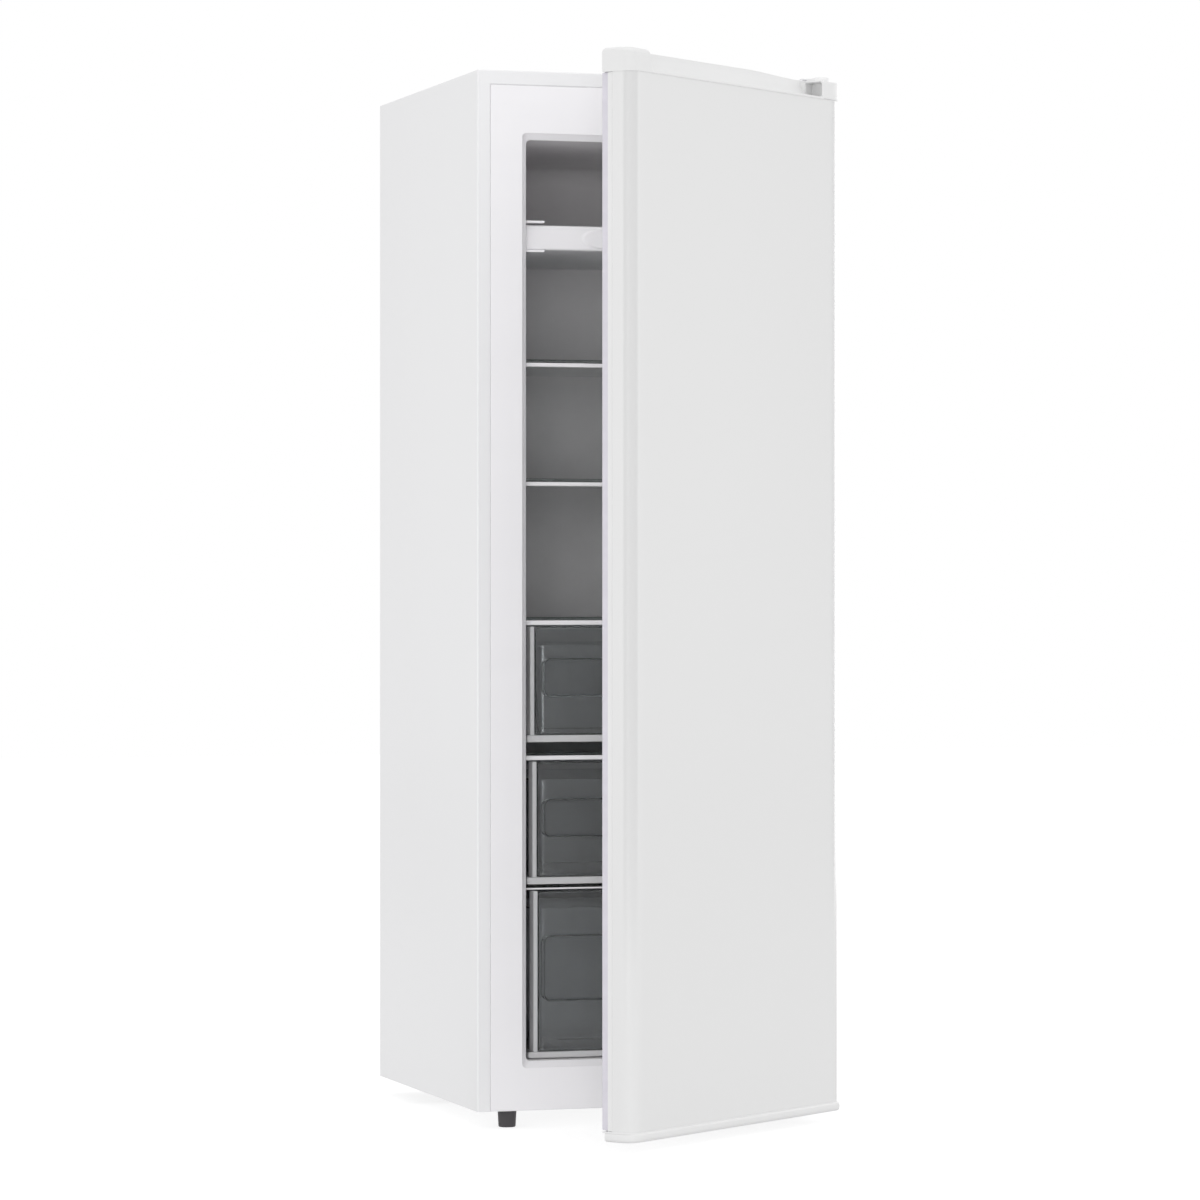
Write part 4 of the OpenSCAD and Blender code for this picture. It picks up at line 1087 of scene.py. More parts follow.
@dataclass
class Drawer:
    """One clear drawer: a tub on a frosted base, behind a clear front with a grip recess. The pale frost of
    the base and uprights is also a painted highlight along the clear edges.
    """

    number: int
    low: float
    top: float
    length: float
    grip: tuple
    front_half: float
    front: float = 26.0
    front_depth: float = 20.0
    band_half: float = 168.0
    band: float = 9.5
    tub_half: float = 150.0
    tub_corner: float = 15.0
    lean: float = 3.5
    wall: float = 2.5
    floor_round: float = 7.0
    inner_share: float = 0.7
    rim_rise: float = 1.2
    face_round: float = 2.2
    face_corner: float = 2.4
    drop: float = 25.0
    grip_half: float = 142.0
    grip_corner: float = 8.0
    post: float = 6.2
    grip_depth: float = 15.0
    rib: tuple = (83.2, 135.2)
    rib_half: float = 13.0
    rib_end: float = 146.0
    rib_height: float = 5.0
    flange_in: float = 0.0
    band_out: float = 0.0
    band_lift: float = 0.0

    @property
    def body(self) -> str:
        """The body that the drawer's pieces ride on."""
        return f"drawer_{self.number}"

    def make_front(self) -> None:
        """The clear front: from the back of its side returns over the face into the grip recess."""
        inset, rise = quarter(self.face_round)
        half = self.front_half - self.post
        out = np.concatenate([[0.0], inset[::-1]])
        outer = inset_rings(half, (self.low + self.band, self.top), out, self.face_corner - out, steps=6)
        outer_y = np.concatenate([[self.front_depth], rise[::-1]])
        grow = np.concatenate([inset, [0.0, -0.8, -self.face_round]])
        grips = inset_rings(self.grip_half, self.grip, -grow, self.grip_corner + grow, steps=6)
        grip_y = np.concatenate([rise, self.grip_depth - np.array([3.0, 0.8, 0.0])])
        piece = Piece(f"drawer_{self.number}_window", Finish.CLEAR, self.body)
        piece.loft(Facing.FRONT, np.concatenate([outer, grips]),
                   self.front + np.concatenate([outer_y, grip_y]), ring=True, last=True)
        piece.build((f"drawer_front_{self.number}",), wall=self.wall - 0.1, inside=(0.0, -900.0, 600.0))

    def make_posts(self) -> None:
        """The frosted uprights at both ends of the clear front, whose pale tone is also a painted highlight
        for the glow along its side edges.
        """
        piece = Piece(f"drawer_{self.number}_posts", Finish.FROSTED_HIGHLIGHT, self.body)
        for side in (-1, 1):
            x = on_side(side, self.front_half, self.front_half - self.post + 0.05)
            piece.slab(Facing.FRONT, x, (self.low + self.band, self.top),
                       (self.front + 0.2, self.front + self.front_depth), radius=1.6, edge=1.4)
        piece.build((f"drawer_front_{self.number}",))

    def make_tub(self) -> None:
        """The clear tub: up the leaning outside, over the rim and down the inside to the floor."""
        y = (self.front + self.front_depth, self.front + self.length)
        top = self.top - self.drop
        inset, rise = quarter(self.floor_round)
        rim = np.linspace(0, math.pi, 7)
        offset = np.concatenate([self.lean + inset, [0.0], self.wall / 2 * (1 - np.cos(rim)),
                                 self.lean + self.wall + (self.floor_round - inset[::-1]) * self.inner_share])
        z = np.concatenate([self.low + rise, [top - 2.0], top - self.rim_rise * (1 - np.sin(rim)),
                            self.low + self.wall + rise[::-1] * self.inner_share])
        outline = inset_rings(self.tub_half, y, offset, np.maximum(self.tub_corner - offset, 2.0))
        piece = Piece(f"drawer_{self.number}_tub", Finish.CLEAR, self.body)
        piece.loft(Facing.PLAN, outline, z, ring=True, ends=True)
        piece.build((f"drawer_bin_{self.number}",))

    def make_base(self) -> None:
        """The frosted base: a thin flange, a band along the front, and ribs on the floor. Its pale tone is
        also a painted highlight for the glow along the drawer's bottom edge.
        """
        back = self.front + self.length
        piece = Piece(f"drawer_{self.number}_base", Finish.FROSTED_HIGHLIGHT, self.body)
        half = self.band_half - self.flange_in
        piece.slab(Facing.PLAN, (-half, half), (self.front + 6, back - 4), (self.low + 0.05, self.low + 2.2),
                   radius=6.0, edge=0.8)
        half = half + self.band_out
        piece.slab(Facing.FRONT, (-half, half), (self.low + self.band_lift, self.low + self.band),
                   (self.front, self.front + 8), radius=3.0, edge=1.4)
        for x in (-self.rib[1], -self.rib[0], self.rib[0], self.rib[1]):
            piece.slab(Facing.PLAN, (x - self.rib_half, min(x + self.rib_half, self.rib_end)),
                       (self.front + self.front_depth + 6, back - 14),
                       (self.low + 1.0, self.low + self.wall + self.rib_height), radius=3.0, edge=1.2)
        piece.build((f"drawer_bin_{self.number}",))

    def make(self) -> None:
        """Builds the drawer's pieces."""
        self.make_front()
        self.make_posts()
        self.make_tub()
        self.make_base()


@dataclass
class DrawerRails:
    """The two bars that carry the upper drawer."""

    inner: float = 160.0
    outer: float = 174.0
    low: float = 486.7
    high: float = 494.7
    reach: tuple = (100.0, 440.0)

    def make(self) -> None:
        """Builds the bars, each with rolled edges."""
        piece = Piece("drawer_runners", Finish.LINER)
        for side in (-1, 1):
            piece.slab(Facing.FRONT, on_side(side, self.inner, self.outer), (self.low, self.high), self.reach,
                       radius=2.2, edge=1.8)
        piece.build(("drawer_rails",))


@dataclass
class Door:
    """The door: steel skin, moulded caps, liner and seal."""

    half: float = 245.0
    face: float = 55.0
    free_corner: tuple = (24.4, 26.4)
    hinge_corner: tuple = (26.0, 4.8)
    corner_power: float = 3.0
    skin_back: float = 23.0
    skin_z: tuple = (4.0, 1368.0)
    sheet: float = 0.8
    fold: float = 10.0
    fold_round: float = 1.2
    cap_top: float = 1399.5
    cap_back: float = 8.0
    cap_edge: float = 3.0
    front_edge: float = 1.2
    back_edge: float = 1.0
    proud: float = 1.0
    block_free: float = -203.0
    block_hinge: float = 204.0
    block_top: float = 1393.0
    scoop: float = 30.0
    scoop_back: float = 16.5
    lip: float = 1.5
    lip_end: float = 2.6
    lip_fall: float = 1.2
    blend: float = 3.0
    dip: tuple = (130.0, 4.0)
    block_round: float = 17.0
    block_edge: float = 8.0
    block_sink: float = 0.5
    pocket_y: tuple = (-53.5, -26.8)
    pocket_z: tuple = (1372.0, 1391.2)
    pocket_end: float = 222.0
    pocket_round: float = 2.4
    end_round: float = 2.5
    bar: tuple = (-9.5, 4.0)
    bar_end: float = 3.0
    bar_in: float = 8.2
    bar_half: float = 5.1
    bar_round: float = 5.0
    bar_turn: tuple = (0.45, 0.5)
    hem: float = 0.8
    seal_gap: float = 15.0
    seal_rise: float = 2.6
    edge: float = 1.0
    low: float = 2.0
    field_inset: float = 80.0
    field_in: float = 7.0
    field_round: float = 6.0
    panel: tuple = ((25.0, 0.0), (28.0, 0.5), (32.0, 3.6), (34.0, 4.2))

    def make_skin(self) -> None:
        """The skin: its plan, an outer and an inner line with rounded corners, carried upwards."""
        back = -self.skin_back
        turn = np.linspace(0, math.pi / 2, 5)
        lines = []
        for t in (0.0, self.sheet):
            r = self.fold_round - t
            roll = np.stack([-self.half + t + r - r * np.cos(turn), back - t - r + r * np.sin(turn)], axis=-1)
            fold = np.concatenate([[[-self.half + self.fold, back - t]], roll[::-1]])
            lines.append(np.concatenate([fold, self.plan(-t), fold[::-1] * (-1, 1)]))
        section = np.concatenate([lines[0], lines[1][::-1]])
        piece = Piece("door_steel", Finish.DOOR, "door")
        piece.loft(Facing.PLAN, section, self.skin_z, ring=True, ends=True)
        piece.build(("door_skin",), hung=True)

    def corner_line(self, corner: tuple, grow: float) -> np.ndarray:
        """A corner in plan, at low x: a quarter of the curve |x / a|^n + |y / b|^n = 1.

        Args:
            corner: How far the corner reaches along the face and along the side.
            grow: How far the corner stands outside the skin.

        Returns:
            Points of shape (n, 2), from the side to the face.
        """
        turn = np.linspace(0, math.pi / 2, 41)
        a, b = corner[0] + grow, corner[1] + grow
        power = 2 / self.corner_power
        return np.stack([-self.half - grow + a - a * np.maximum(np.cos(turn), 0) ** power,
                         -self.face - grow + b - b * np.sin(turn) ** power], axis=-1)

    def plan(self, grow: float) -> np.ndarray:
        """The door's plan: the free corner, the flat face and the hinge corner.

        Args:
            grow: How far the line stands outside the skin.

        Returns:
            Points of shape (n, 2), from the free side to the hinge side.
        """
        free = self.corner_line(self.free_corner, grow)
        hinge = self.corner_line(self.hinge_corner, grow)[::-1] * (-1, 1)
        return np.concatenate([free, hinge])

    def front_line(self, x: np.ndarray) -> np.ndarray:
        """Where the cap's rounded front lies at a place across the door.

        Args:
            x: Places across the door.

        Returns:
            The y of the front, with the corner's curve at each end.
        """
        n = self.corner_power
        fall = np.zeros_like(x)
        for side, corner in ((-1, self.free_corner), (1, self.hinge_corner)):
            a, b = corner[0] + self.proud, corner[1] + self.proud
            d = np.clip(self.half + self.proud - side * x, 0.0, a)
            fall = fall + b - b * np.maximum(1 - ((a - d) / a) ** n, 0.0) ** (1 / n)
        return fall - self.face - self.proud

    def block_height(self, x: np.ndarray, y: np.ndarray) -> np.ndarray:
        """Height of the raised block, whose edge rolls over all along the rounded corner.

        With u and v as the shares left to the side and to the front, (u^n + v^n)^(1/n) is one on the border.
        The roll's radius changes from the front's to the side's by the share of u in u + v.

        Args:
            x: Places across the door.
            y: Places in depth, of the same shape.

        Returns:
            The heights.
        """
        a, b = self.free_corner[0] + self.proud, self.free_corner[1] + self.proud
        n = self.corner_power
        u = np.clip((a - x - self.half - self.proud) / a, 0.0, 1.0)
        v = np.clip((b - y - self.face - self.proud) / b, 0.0, 1.0)
        share = u / np.maximum(u + v, 1e-9)
        near = (1 - (u ** n + v ** n) ** (1 / n)) * (a * share + b * (1 - share))
        radius = self.block_round * (1 - share) + self.block_edge * share
        return self.cap_top - self.block_sink * rolled(near, radius)

    def make_scoop(self) -> None:
        """The top cap's long part: a raised block at the free end, then the finger scoop.

        At each place across the door the top is a height over y. It blends by a smooth step from the block,
        flat with rolled edges, to the scoop, a lip, a level floor and then a quarter circle up to the back.
        """
        left = -self.half - self.proud
        x = np.concatenate([left + self.cap_edge * (1 - np.cos(np.linspace(0, math.pi / 2, 7))),
                            left + np.linspace(4.0, 12.0, 9), np.linspace(-232, -208, 9),
                            self.block_free + np.linspace(-4.0, 4.0, 17), np.linspace(-190, 190, 21),
                            [self.block_hinge + 2.0]])
        circle = -self.scoop_back - self.scoop
        floor = self.cap_top - self.scoop
        front = -self.face - self.proud
        y = np.concatenate([front + self.front_edge * (1 - np.cos(np.linspace(0, math.pi / 2, 5))),
                            front + np.array([1.9, 2.6, 3.2, 3.6, 4.0, 5.2, 6.4, 7.8, 9.0]), [circle],
                            circle + self.scoop * np.sin(np.linspace(0, math.pi / 2, 15)[1:]),
                            [-14.0, -11.6],
                            -self.cap_back - self.back_edge * (1 - np.sin(np.linspace(0, math.pi / 2, 5)))])
        lip = self.lip * (1 - smooth_step((y - (front + self.lip_end)) / self.lip_fall))
        scoop_z = floor + rolled(-self.scoop_back - y, self.scoop) + lip
        scoop_z = scoop_z - rolled(y - front, self.front_edge) - rolled(-self.cap_back - y, self.back_edge)
        line = self.front_line(x)[:, None]
        place = line + (y - front)[None, :] * (self.cap_back + line) / (self.cap_back + front)
        block_z = self.block_height(x[:, None] + 0 * place, place)
        block_z = block_z - rolled(-self.cap_back - place, self.cap_edge)
        reach = (x - self.block_hinge + self.dip[0]) / self.dip[0]
        sunk = self.cap_top - self.dip[1] * (1 - np.cos(math.pi * np.clip(reach, 0, 1))) / 2
        scoop_z = np.minimum(scoop_z[None, :], sunk[:, None])
        share = smooth_step((x - (self.block_free - self.blend)) / (2 * self.blend))[:, None]
        top = block_z * (1 - share) + scoop_z * share
        bottom = np.full((len(x), 1), self.skin_z[1])
        section_y = np.concatenate([np.full((len(x), 1), -self.cap_back), line, place], axis=1)
        section_z = np.concatenate([bottom, bottom, top], axis=1)
        points = np.stack([np.repeat(x[:, None], section_y.shape[1], 1), section_y, section_z], axis=-1)
        piece = Piece("door_cap_scoop", Finish.SHADED_CAP, "door")
        piece.grid(points, ring=True, ends=True)
        piece.build(("door_cap_top",), hung=True, sharp=40.0)

    def make_hinge_block(self) -> None:
        """The lower block at the hinge: a rolled end, the outside, and a pocket that opens to the scoop."""
        right = self.half + self.proud
        inset, rise = quarter(self.end_round)
        front = -self.face - self.proud
        outer_inset = np.concatenate([inset, np.zeros(12), inset[::-1] * 0.4])
        outer_x = np.concatenate([right - rise, right - np.linspace(3.0, 27.0, 12),
                                  self.block_hinge + rise[::-1] * 0.4])
        outer = rings((front + outer_inset, -self.cap_back - outer_inset),
                      (self.skin_z[1], self.block_top - outer_inset), 2.6 - outer_inset * 0.9, steps=5)
        soft, depth = quarter(self.pocket_round, steps=5)
        grow = np.concatenate([soft, [0.0]])
        pocket = rings((self.pocket_y[0] - 0.4 * grow, self.pocket_y[1] + grow),
                       (self.pocket_z[0] - 0.4 * grow, self.pocket_z[1] + 0.5 * grow), 2.5 + grow, steps=5)
        pocket_x = np.concatenate([self.block_hinge + depth, [self.pocket_end]])
        outline = np.concatenate([outer, pocket])
        along = np.concatenate([outer_x, pocket_x])
        points = set_in(Facing.SIDE, outline, along[:, None])
        points[..., 1] = np.maximum(points[..., 1], self.front_line(points[..., 0]))
        piece = Piece("door_cap_block", Finish.SHADED_CAP, "door")
        piece.grid(points, ring=True, ends=True)
        piece.build(("door_cap_top",), hung=True)

    def make_bottom_cap(self) -> None:
        """The bottom cap: a rounded bar carried round the door's plan, and the plate behind it.

        The bar is flush along the side and comes forward by a smooth step as it rounds the corner. Its far
        end shrinks by a quarter circle.
        """
        free = self.corner_line(self.free_corner, 0.0)[:-1]
        far = self.half + self.proud - self.bar_end
        end = np.linspace(0, math.pi / 2, 7)
        last = np.stack([far + self.bar_end * np.sin(end), np.full_like(end, -self.face)], axis=-1)
        path = np.concatenate([[[-self.half, -12.0]], free, [[0.0, -self.face], [200.0, -self.face]], last])
        along = np.gradient(path, axis=0)
        along[0] = (0.0, -1.0)
        along[len(free):] = (1.0, 0.0)
        along = along / np.linalg.norm(along, axis=1, keepdims=True)
        out = np.stack([along[:, 1], -along[:, 0]], axis=-1)
        forward = smooth_step((along[:, 0] - self.bar_turn[0]) / self.bar_turn[1])
        shrink = np.ones(len(path))
        shrink[-len(end):] = 1 - self.bar_end * (1 - np.cos(end)) / self.bar_half
        section = rings((0.0, 1.0), self.bar, self.bar_round, steps=5)[0]
        reach = rings((-self.bar_in, self.proud + forward), self.bar, self.bar_round, steps=5)[..., 0].T
        middle = (-self.bar_in + self.proud + forward) / 2
        reach = middle + (reach - middle) * shrink
        level = sum(self.bar) / 2
        points = np.zeros((len(section), len(path), 3))
        points[..., :2] = path + out * reach[..., None]
        points[..., 2] = level + (section[:, 1:] - level) * shrink
        points[..., 0] = np.clip(points[..., 0], -self.half - self.proud, self.half + self.proud)
        piece = Piece("door_cap_bar", Finish.SHADED_CAP, "door")
        piece.grid(points, loop=True, sides=True)
        back = [[self.half + self.hem, -self.cap_back], [-self.half - self.hem, -self.cap_back]]
        plate = np.concatenate([self.plan(self.hem), back])
        piece.loft(Facing.PLAN, plate, (self.low, self.skin_z[0]), ring=True, ends=True)
        piece.turned((HINGE[0], HINGE[1], 3.0), [(9.9, 0.0), (9.9, 18.9)])
        piece.build(("door_cap_bottom",), hung=True)

    def make_liner(self) -> None:
        """The door's liner: a flange, a channel for the seal, and a raised field with a sunk panel."""
        inset, rise = quarter(self.field_round, steps=6)
        away, fall = np.array(self.panel).T
        offset = np.concatenate([[0.0, 0.0, 0.8, 62.0], self.field_inset - inset,
                                 self.field_inset + 2.0 + rise, self.field_inset + away])
        y = np.concatenate([[-self.skin_back, -self.seal_gap - 0.6, -self.seal_gap, -self.seal_gap],
                            -self.seal_gap + rise * 0.5, self.field_in - inset, self.field_in - fall])
        radii = np.concatenate([[1.5, 1.5, 1.5, 12.0], np.full(len(offset) - 4, 16.0)])
        outline = inset_rings(self.half - self.edge, self.skin_z, offset, radii)
        piece = Piece("door_inner_panel", Finish.SHADED_CAP, "door")
        piece.loft(Facing.FRONT, outline, y, ring=True, last=True)
        piece.build(("door_liner",), hung=True, wall=1.6, inside=(0.0, 900.0, 700.0), sharp=50.0)

    def make_seal(self) -> None:
        """The seal: a foot, an outer lip, two folds and a magnet pocket, carried round the door."""
        section = np.array([
            (4.0, -14.9), (32.2, -14.9), (33.8, -14.0), (33.8, -12.8), (32.2, -12.1), (24.0, -11.8),
            (22.5, -10.6), (24.4, -9.2), (22.8, -7.8), (27.5, -6.6), (31.2, -5.2), (31.4, -1.6),
            (30.4, -0.6), (12.0, -0.6), (10.6, -1.4), (10.2, -4.6), (12.4, -6.0), (14.6, -7.4),
            (12.8, -8.8), (14.8, -10.2), (13.2, -11.6), (7.0, -11.9), (5.7, -11.0), (5.4, -5.2),
            (5.0, -4.4), (4.2, -4.1), (3.4, -4.6), (3.05, -6.0), (3.05, -13.8), (3.3, -14.6)])
        span = (self.low, self.skin_z[1] + self.seal_rise)
        outline = inset_rings(self.half - self.edge, span, section[:, 0], radius=1.0, steps=3)
        piece = Piece("door_seal", Finish.SEAL, "door")
        piece.loft(Facing.FRONT, outline, section[:, 1], ring=True, loop=True)
        piece.build(("door_gasket",), hung=True, sharp=60.0)

    def make(self) -> None:
        """Builds the door's pieces."""
        self.make_skin()
        self.make_scoop()
        self.make_hinge_block()
        self.make_bottom_cap()
        self.make_liner()
        self.make_seal()


@dataclass
class Fittings:
    """Feet, screws and the thermostat's knob."""

    foot_x: float = 195.0
    foot_y: float = 30.0
    rear_foot: tuple = (150.0, 460.0)
    head_steps: int = 48
    head_fall: float = 0.55
    drive: tuple = (0.13, 0.5)
    panel_screw_x: float = 237.2
    panel_screw_z: tuple = (30.0, 197.2, 242.2, 806.1, 1340.0)
    top_screws: tuple = ((227.0, 22.0), (235.0, 36.0), (227.0, 50.0))
    low_screws: tuple = ((220.5, 16.0), (234.5, 16.0), (234.5, 42.0))
    knob: tuple = (170.0, 160.0)
    knob_floor: float = 494.9
    hood_half: float = 11.5
    hood_back: float = -4.4
    hood_z: tuple = (1393.6, 1401.0)
    hood_round: float = 3.6
    hood_wall: float = 1.3
    hood_flare: tuple = ((-0.9, 0.0), (-0.35, 0.7), (0.0, 2.0))
    hood_crown: tuple = ((1.6, 0.2), (4.0, 0.4), (6.4, 0.5))

    def screw(self, piece: Piece, centre: tuple, facing: Facing, radius: float, sign: float) -> None:
        """Adds a domed head with a cross-shaped drive sunk in its middle.

        The head's height over a polar grid is a dome less a smooth cross.

        Args:
            piece: The piece that gets the screw.
            centre: Place in the head's plane, and where the head sits along the axis.
            facing: The plane of the head.
            radius: Radius of the head, which is half as high.
            sign: Direction in which the head stands out.
        """
        share = np.concatenate([np.linspace(0.02, 0.62, 13), np.linspace(0.68, 1.0, 7), [1.0]])[:, None]
        angle = (np.arange(self.head_steps) * 2 * math.pi / self.head_steps)[None, :]
        circle = np.stack([share * np.cos(angle), share * np.sin(angle)], axis=-1)
        beside, along = np.moveaxis(np.sort(np.abs(circle), axis=-1), -1, 0)
        cross = smooth_step((self.drive[0] - beside) / 0.06) * smooth_step((self.drive[1] - along) / 0.1)
        height = radius / 2 * (1 - self.head_fall * share ** 2 - 0.5 * cross)
        height[-1] = 0.0
        outline = np.array(centre[:2]) + radius * circle
        piece.grid(set_in(facing, outline, centre[2] + sign * height), ring=True, ends=True)

    def make_screws(self) -> None:
        """The screws of the rear panels and of both hinges."""
        panels = [(side * self.panel_screw_x, z) for z in self.panel_screw_z for side in (-1, 1)]
        for name, node, places, level, facing, radius, sign in (
                ("rear_screw_heads", "panel_screws", panels, 510.0, Facing.FRONT, 4.0, 1.0),
                ("top_screw_heads", "top_hinge_screws", self.top_screws, 1402.0, Facing.PLAN, 5.0, 1.0),
                ("low_screw_heads", "bottom_hinge_screws", self.low_screws, -3.0, Facing.PLAN, 5.0, -1.0)):
            piece = Piece(name, Finish.SCREW)
            for place in places:
                self.screw(piece, (*place, level), facing, radius, sign)
            piece.build((node,), sharp=60.0)

    def make_hood(self) -> None:
        """The hood over the top hinge: a plan of two sides and a half circle, flared at its foot.

        The plan shrinks by a quarter circle as it rises, and the top is crowned.
        """
        turn = np.linspace(0, math.pi, 25)
        inset, rise = quarter(self.hood_round, steps=7)
        flare, crown = np.array(self.hood_flare), np.array(self.hood_crown)
        shrink = np.concatenate([flare[:, 0], inset[::-1], self.hood_round + crown[:, 0]])
        top = self.hood_z[1] - crown[-1, 1]
        z = np.concatenate([self.hood_z[0] + flare[:, 1], top - rise[::-1], top + crown[:, 1]])
        piece = Piece("hinge_hood", Finish.SHADED_CAP)
        feet = []
        for wall, level in ((0.0, z), (self.hood_wall, np.maximum(z - self.hood_wall, self.hood_z[0]))):
            half = self.hood_half - wall - shrink[:, None]
            arc = np.stack([HINGE[0] - half * np.cos(turn), HINGE[1] - half * np.sin(turn)], axis=-1)
            back = np.full_like(half, self.hood_back - wall)
            left = np.stack([HINGE[0] - half, back], axis=-1)
            right = np.stack([HINGE[0] + half, back], axis=-1)
            outline = np.concatenate([left, arc, right], axis=1)
            points = set_in(Facing.PLAN, outline, level[:, None])
            piece.grid(points, ring=True, last=True)
            feet.append(points[0])
        piece.grid(np.stack(feet), ring=True)
        piece.build(("hinge_cover",))

    def make_feet(self) -> None:
        """The feet: smooth cones with a rolled sole, the front ones under a thin hexagon and a stud."""
        skirt = [(10.2, 0.0), (11.0, 0.2), (11.4, 0.6), (11.6, 1.3), (11.7, 2.4), (12.2, 12.0), (12.7, 20.6),
                 (12.66, 21.4), (12.4, 21.9), (11.0, 22.1)]
        hexagon = [(11.4, 0.0), (12.7, 0.3), (12.7, 1.2), (12.0, 1.6)]
        stud = [(4.0, 0.0), (4.0, 17.4), (3.2, 18.4)]
        glide = [(10.2, 0.0), (11.0, 0.2), (11.4, 0.6), (11.7, 2.4), (12.2, 12.0), (12.8, 22.0), (12.8, 24.0)]
        for side, name in ((-1, "left"), (1, "right")):
            piece = Piece(f"foot_{name}", Finish.DARK, f"front_foot_{name}")
            for level, profile, steps in ((0.0, skirt, 96), (22.1, hexagon, 6), (23.6, stud, 48)):
                piece.turned((side * self.foot_x, self.foot_y, -FOOT_HEIGHT + level), profile, steps=steps)
            piece.build((f"front_foot_{name}",))
            rear = Piece(f"rear_glide_{name}", Finish.DARK)
            rear.turned((side * self.rear_foot[0], self.rear_foot[1], -FOOT_HEIGHT), glide, steps=64)
            rear.build((f"rear_foot_{name}",))

    def make_knob(self) -> None:
        """The thermostat's knob: a fluted cap with a raised pointer bar, on its shaft."""
        x, z = self.knob
        floor = self.knob_floor
        cap = [(13.6, 0.0), (14.8, 0.5), (14.9, 1.5), (14.6, 9.6), (14.2, 10.2), (13.4, 10.7), (11.0, 10.9)]
        piece = Piece("temperature_knob", Finish.WHITE, "thermostat_knob")
        piece.turned((x, z, floor), cap, Facing.FRONT, steps=96, flutes=18, flute_depth=0.8, fluted=(2, 4))
        piece.slab(Facing.FRONT, (x - 1.8, x + 1.8), (z - 11.0, z + 12.6), (floor + 9.0, floor + 12.9),
                   radius=1.8, edge=1.0)
        piece.turned((x, z, floor - 12.4), [(3.0, 0.0), (3.0, 13.0)], Facing.FRONT)
        piece.build(("thermostat_knob",))

    def make(self) -> None:
        """Builds the fittings."""
        self.make_screws()
        self.make_hood()
        self.make_feet()
        self.make_knob()


@dataclass
class CarriedOver:
    """The nodes whose solids are shown as they are, and their finishes."""

    finishes: dict = field(default_factory=lambda: {
        Finish.FOAM: ("cabinet_insulation", "door_insulation"),
        Finish.ENAMEL: ("hinge_plate_top", "hinge_plate_bottom", "base_pan"),
        Finish.ZINC: ("back_panel", "bay_lining", "rear_cover", "compressor_base"),
        Finish.BLACK: ("compressor",),
        Finish.RUBBER: ("compressor_grommets",),
        Finish.SCREW: ("compressor_bolts",),
        Finish.DARK: ("relay_cover", "cord_gland", "hinge_bushings"),
        Finish.COPPER: ("filter_drier", "discharge_tube", "suction_tube", "condenser_coil"),
        Finish.ALUMINIUM: ("evaporator_coil",),
        Finish.WHITE: ("thermostat",),
        Finish.MAGNET: ("gasket_magnets",),
    })

    def make(self) -> None:
        """Dresses each node."""
        for finish, names in self.finishes.items():
            for name in names:
                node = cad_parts[name]
                node.data.materials.clear()
                node.data.materials.append(finish.material())
                LOG.info("%s keeps its solid, in %s", name, finish.slot)


# Studio


@dataclass
class Lamp:
    """A soft rectangular lamp."""

    name: str
    place: tuple
    target: tuple
    size: tuple
    power: float
    spares: tuple = ()

    def make(self) -> None:
        """Builds the lamp, aims it, and flags it off the pieces that it spares."""
        light = bpy.data.lights.new(self.name, "AREA")
        light.shape = "RECTANGLE"
        light.size = self.size[0]
        light.size_y = self.size[1]
        light.energy = self.power
        lamp = placed(self.name, light)
        lamp.location = self.place
        aim = Vector(self.target) - Vector(self.place)
        lamp.rotation_euler = aim.to_track_quat("-Z", "Y").to_euler()
        lamp.visible_glossy = False
        if self.spares:
            flagged = bpy.data.collections.new(self.name + "_flags")
            for name in self.spares:
                flagged.objects.link(bpy.data.objects[name])
            for entry in flagged.collection_objects:
                entry.light_linking.link_state = "EXCLUDE"
            lamp.light_linking.receiver_collection = flagged


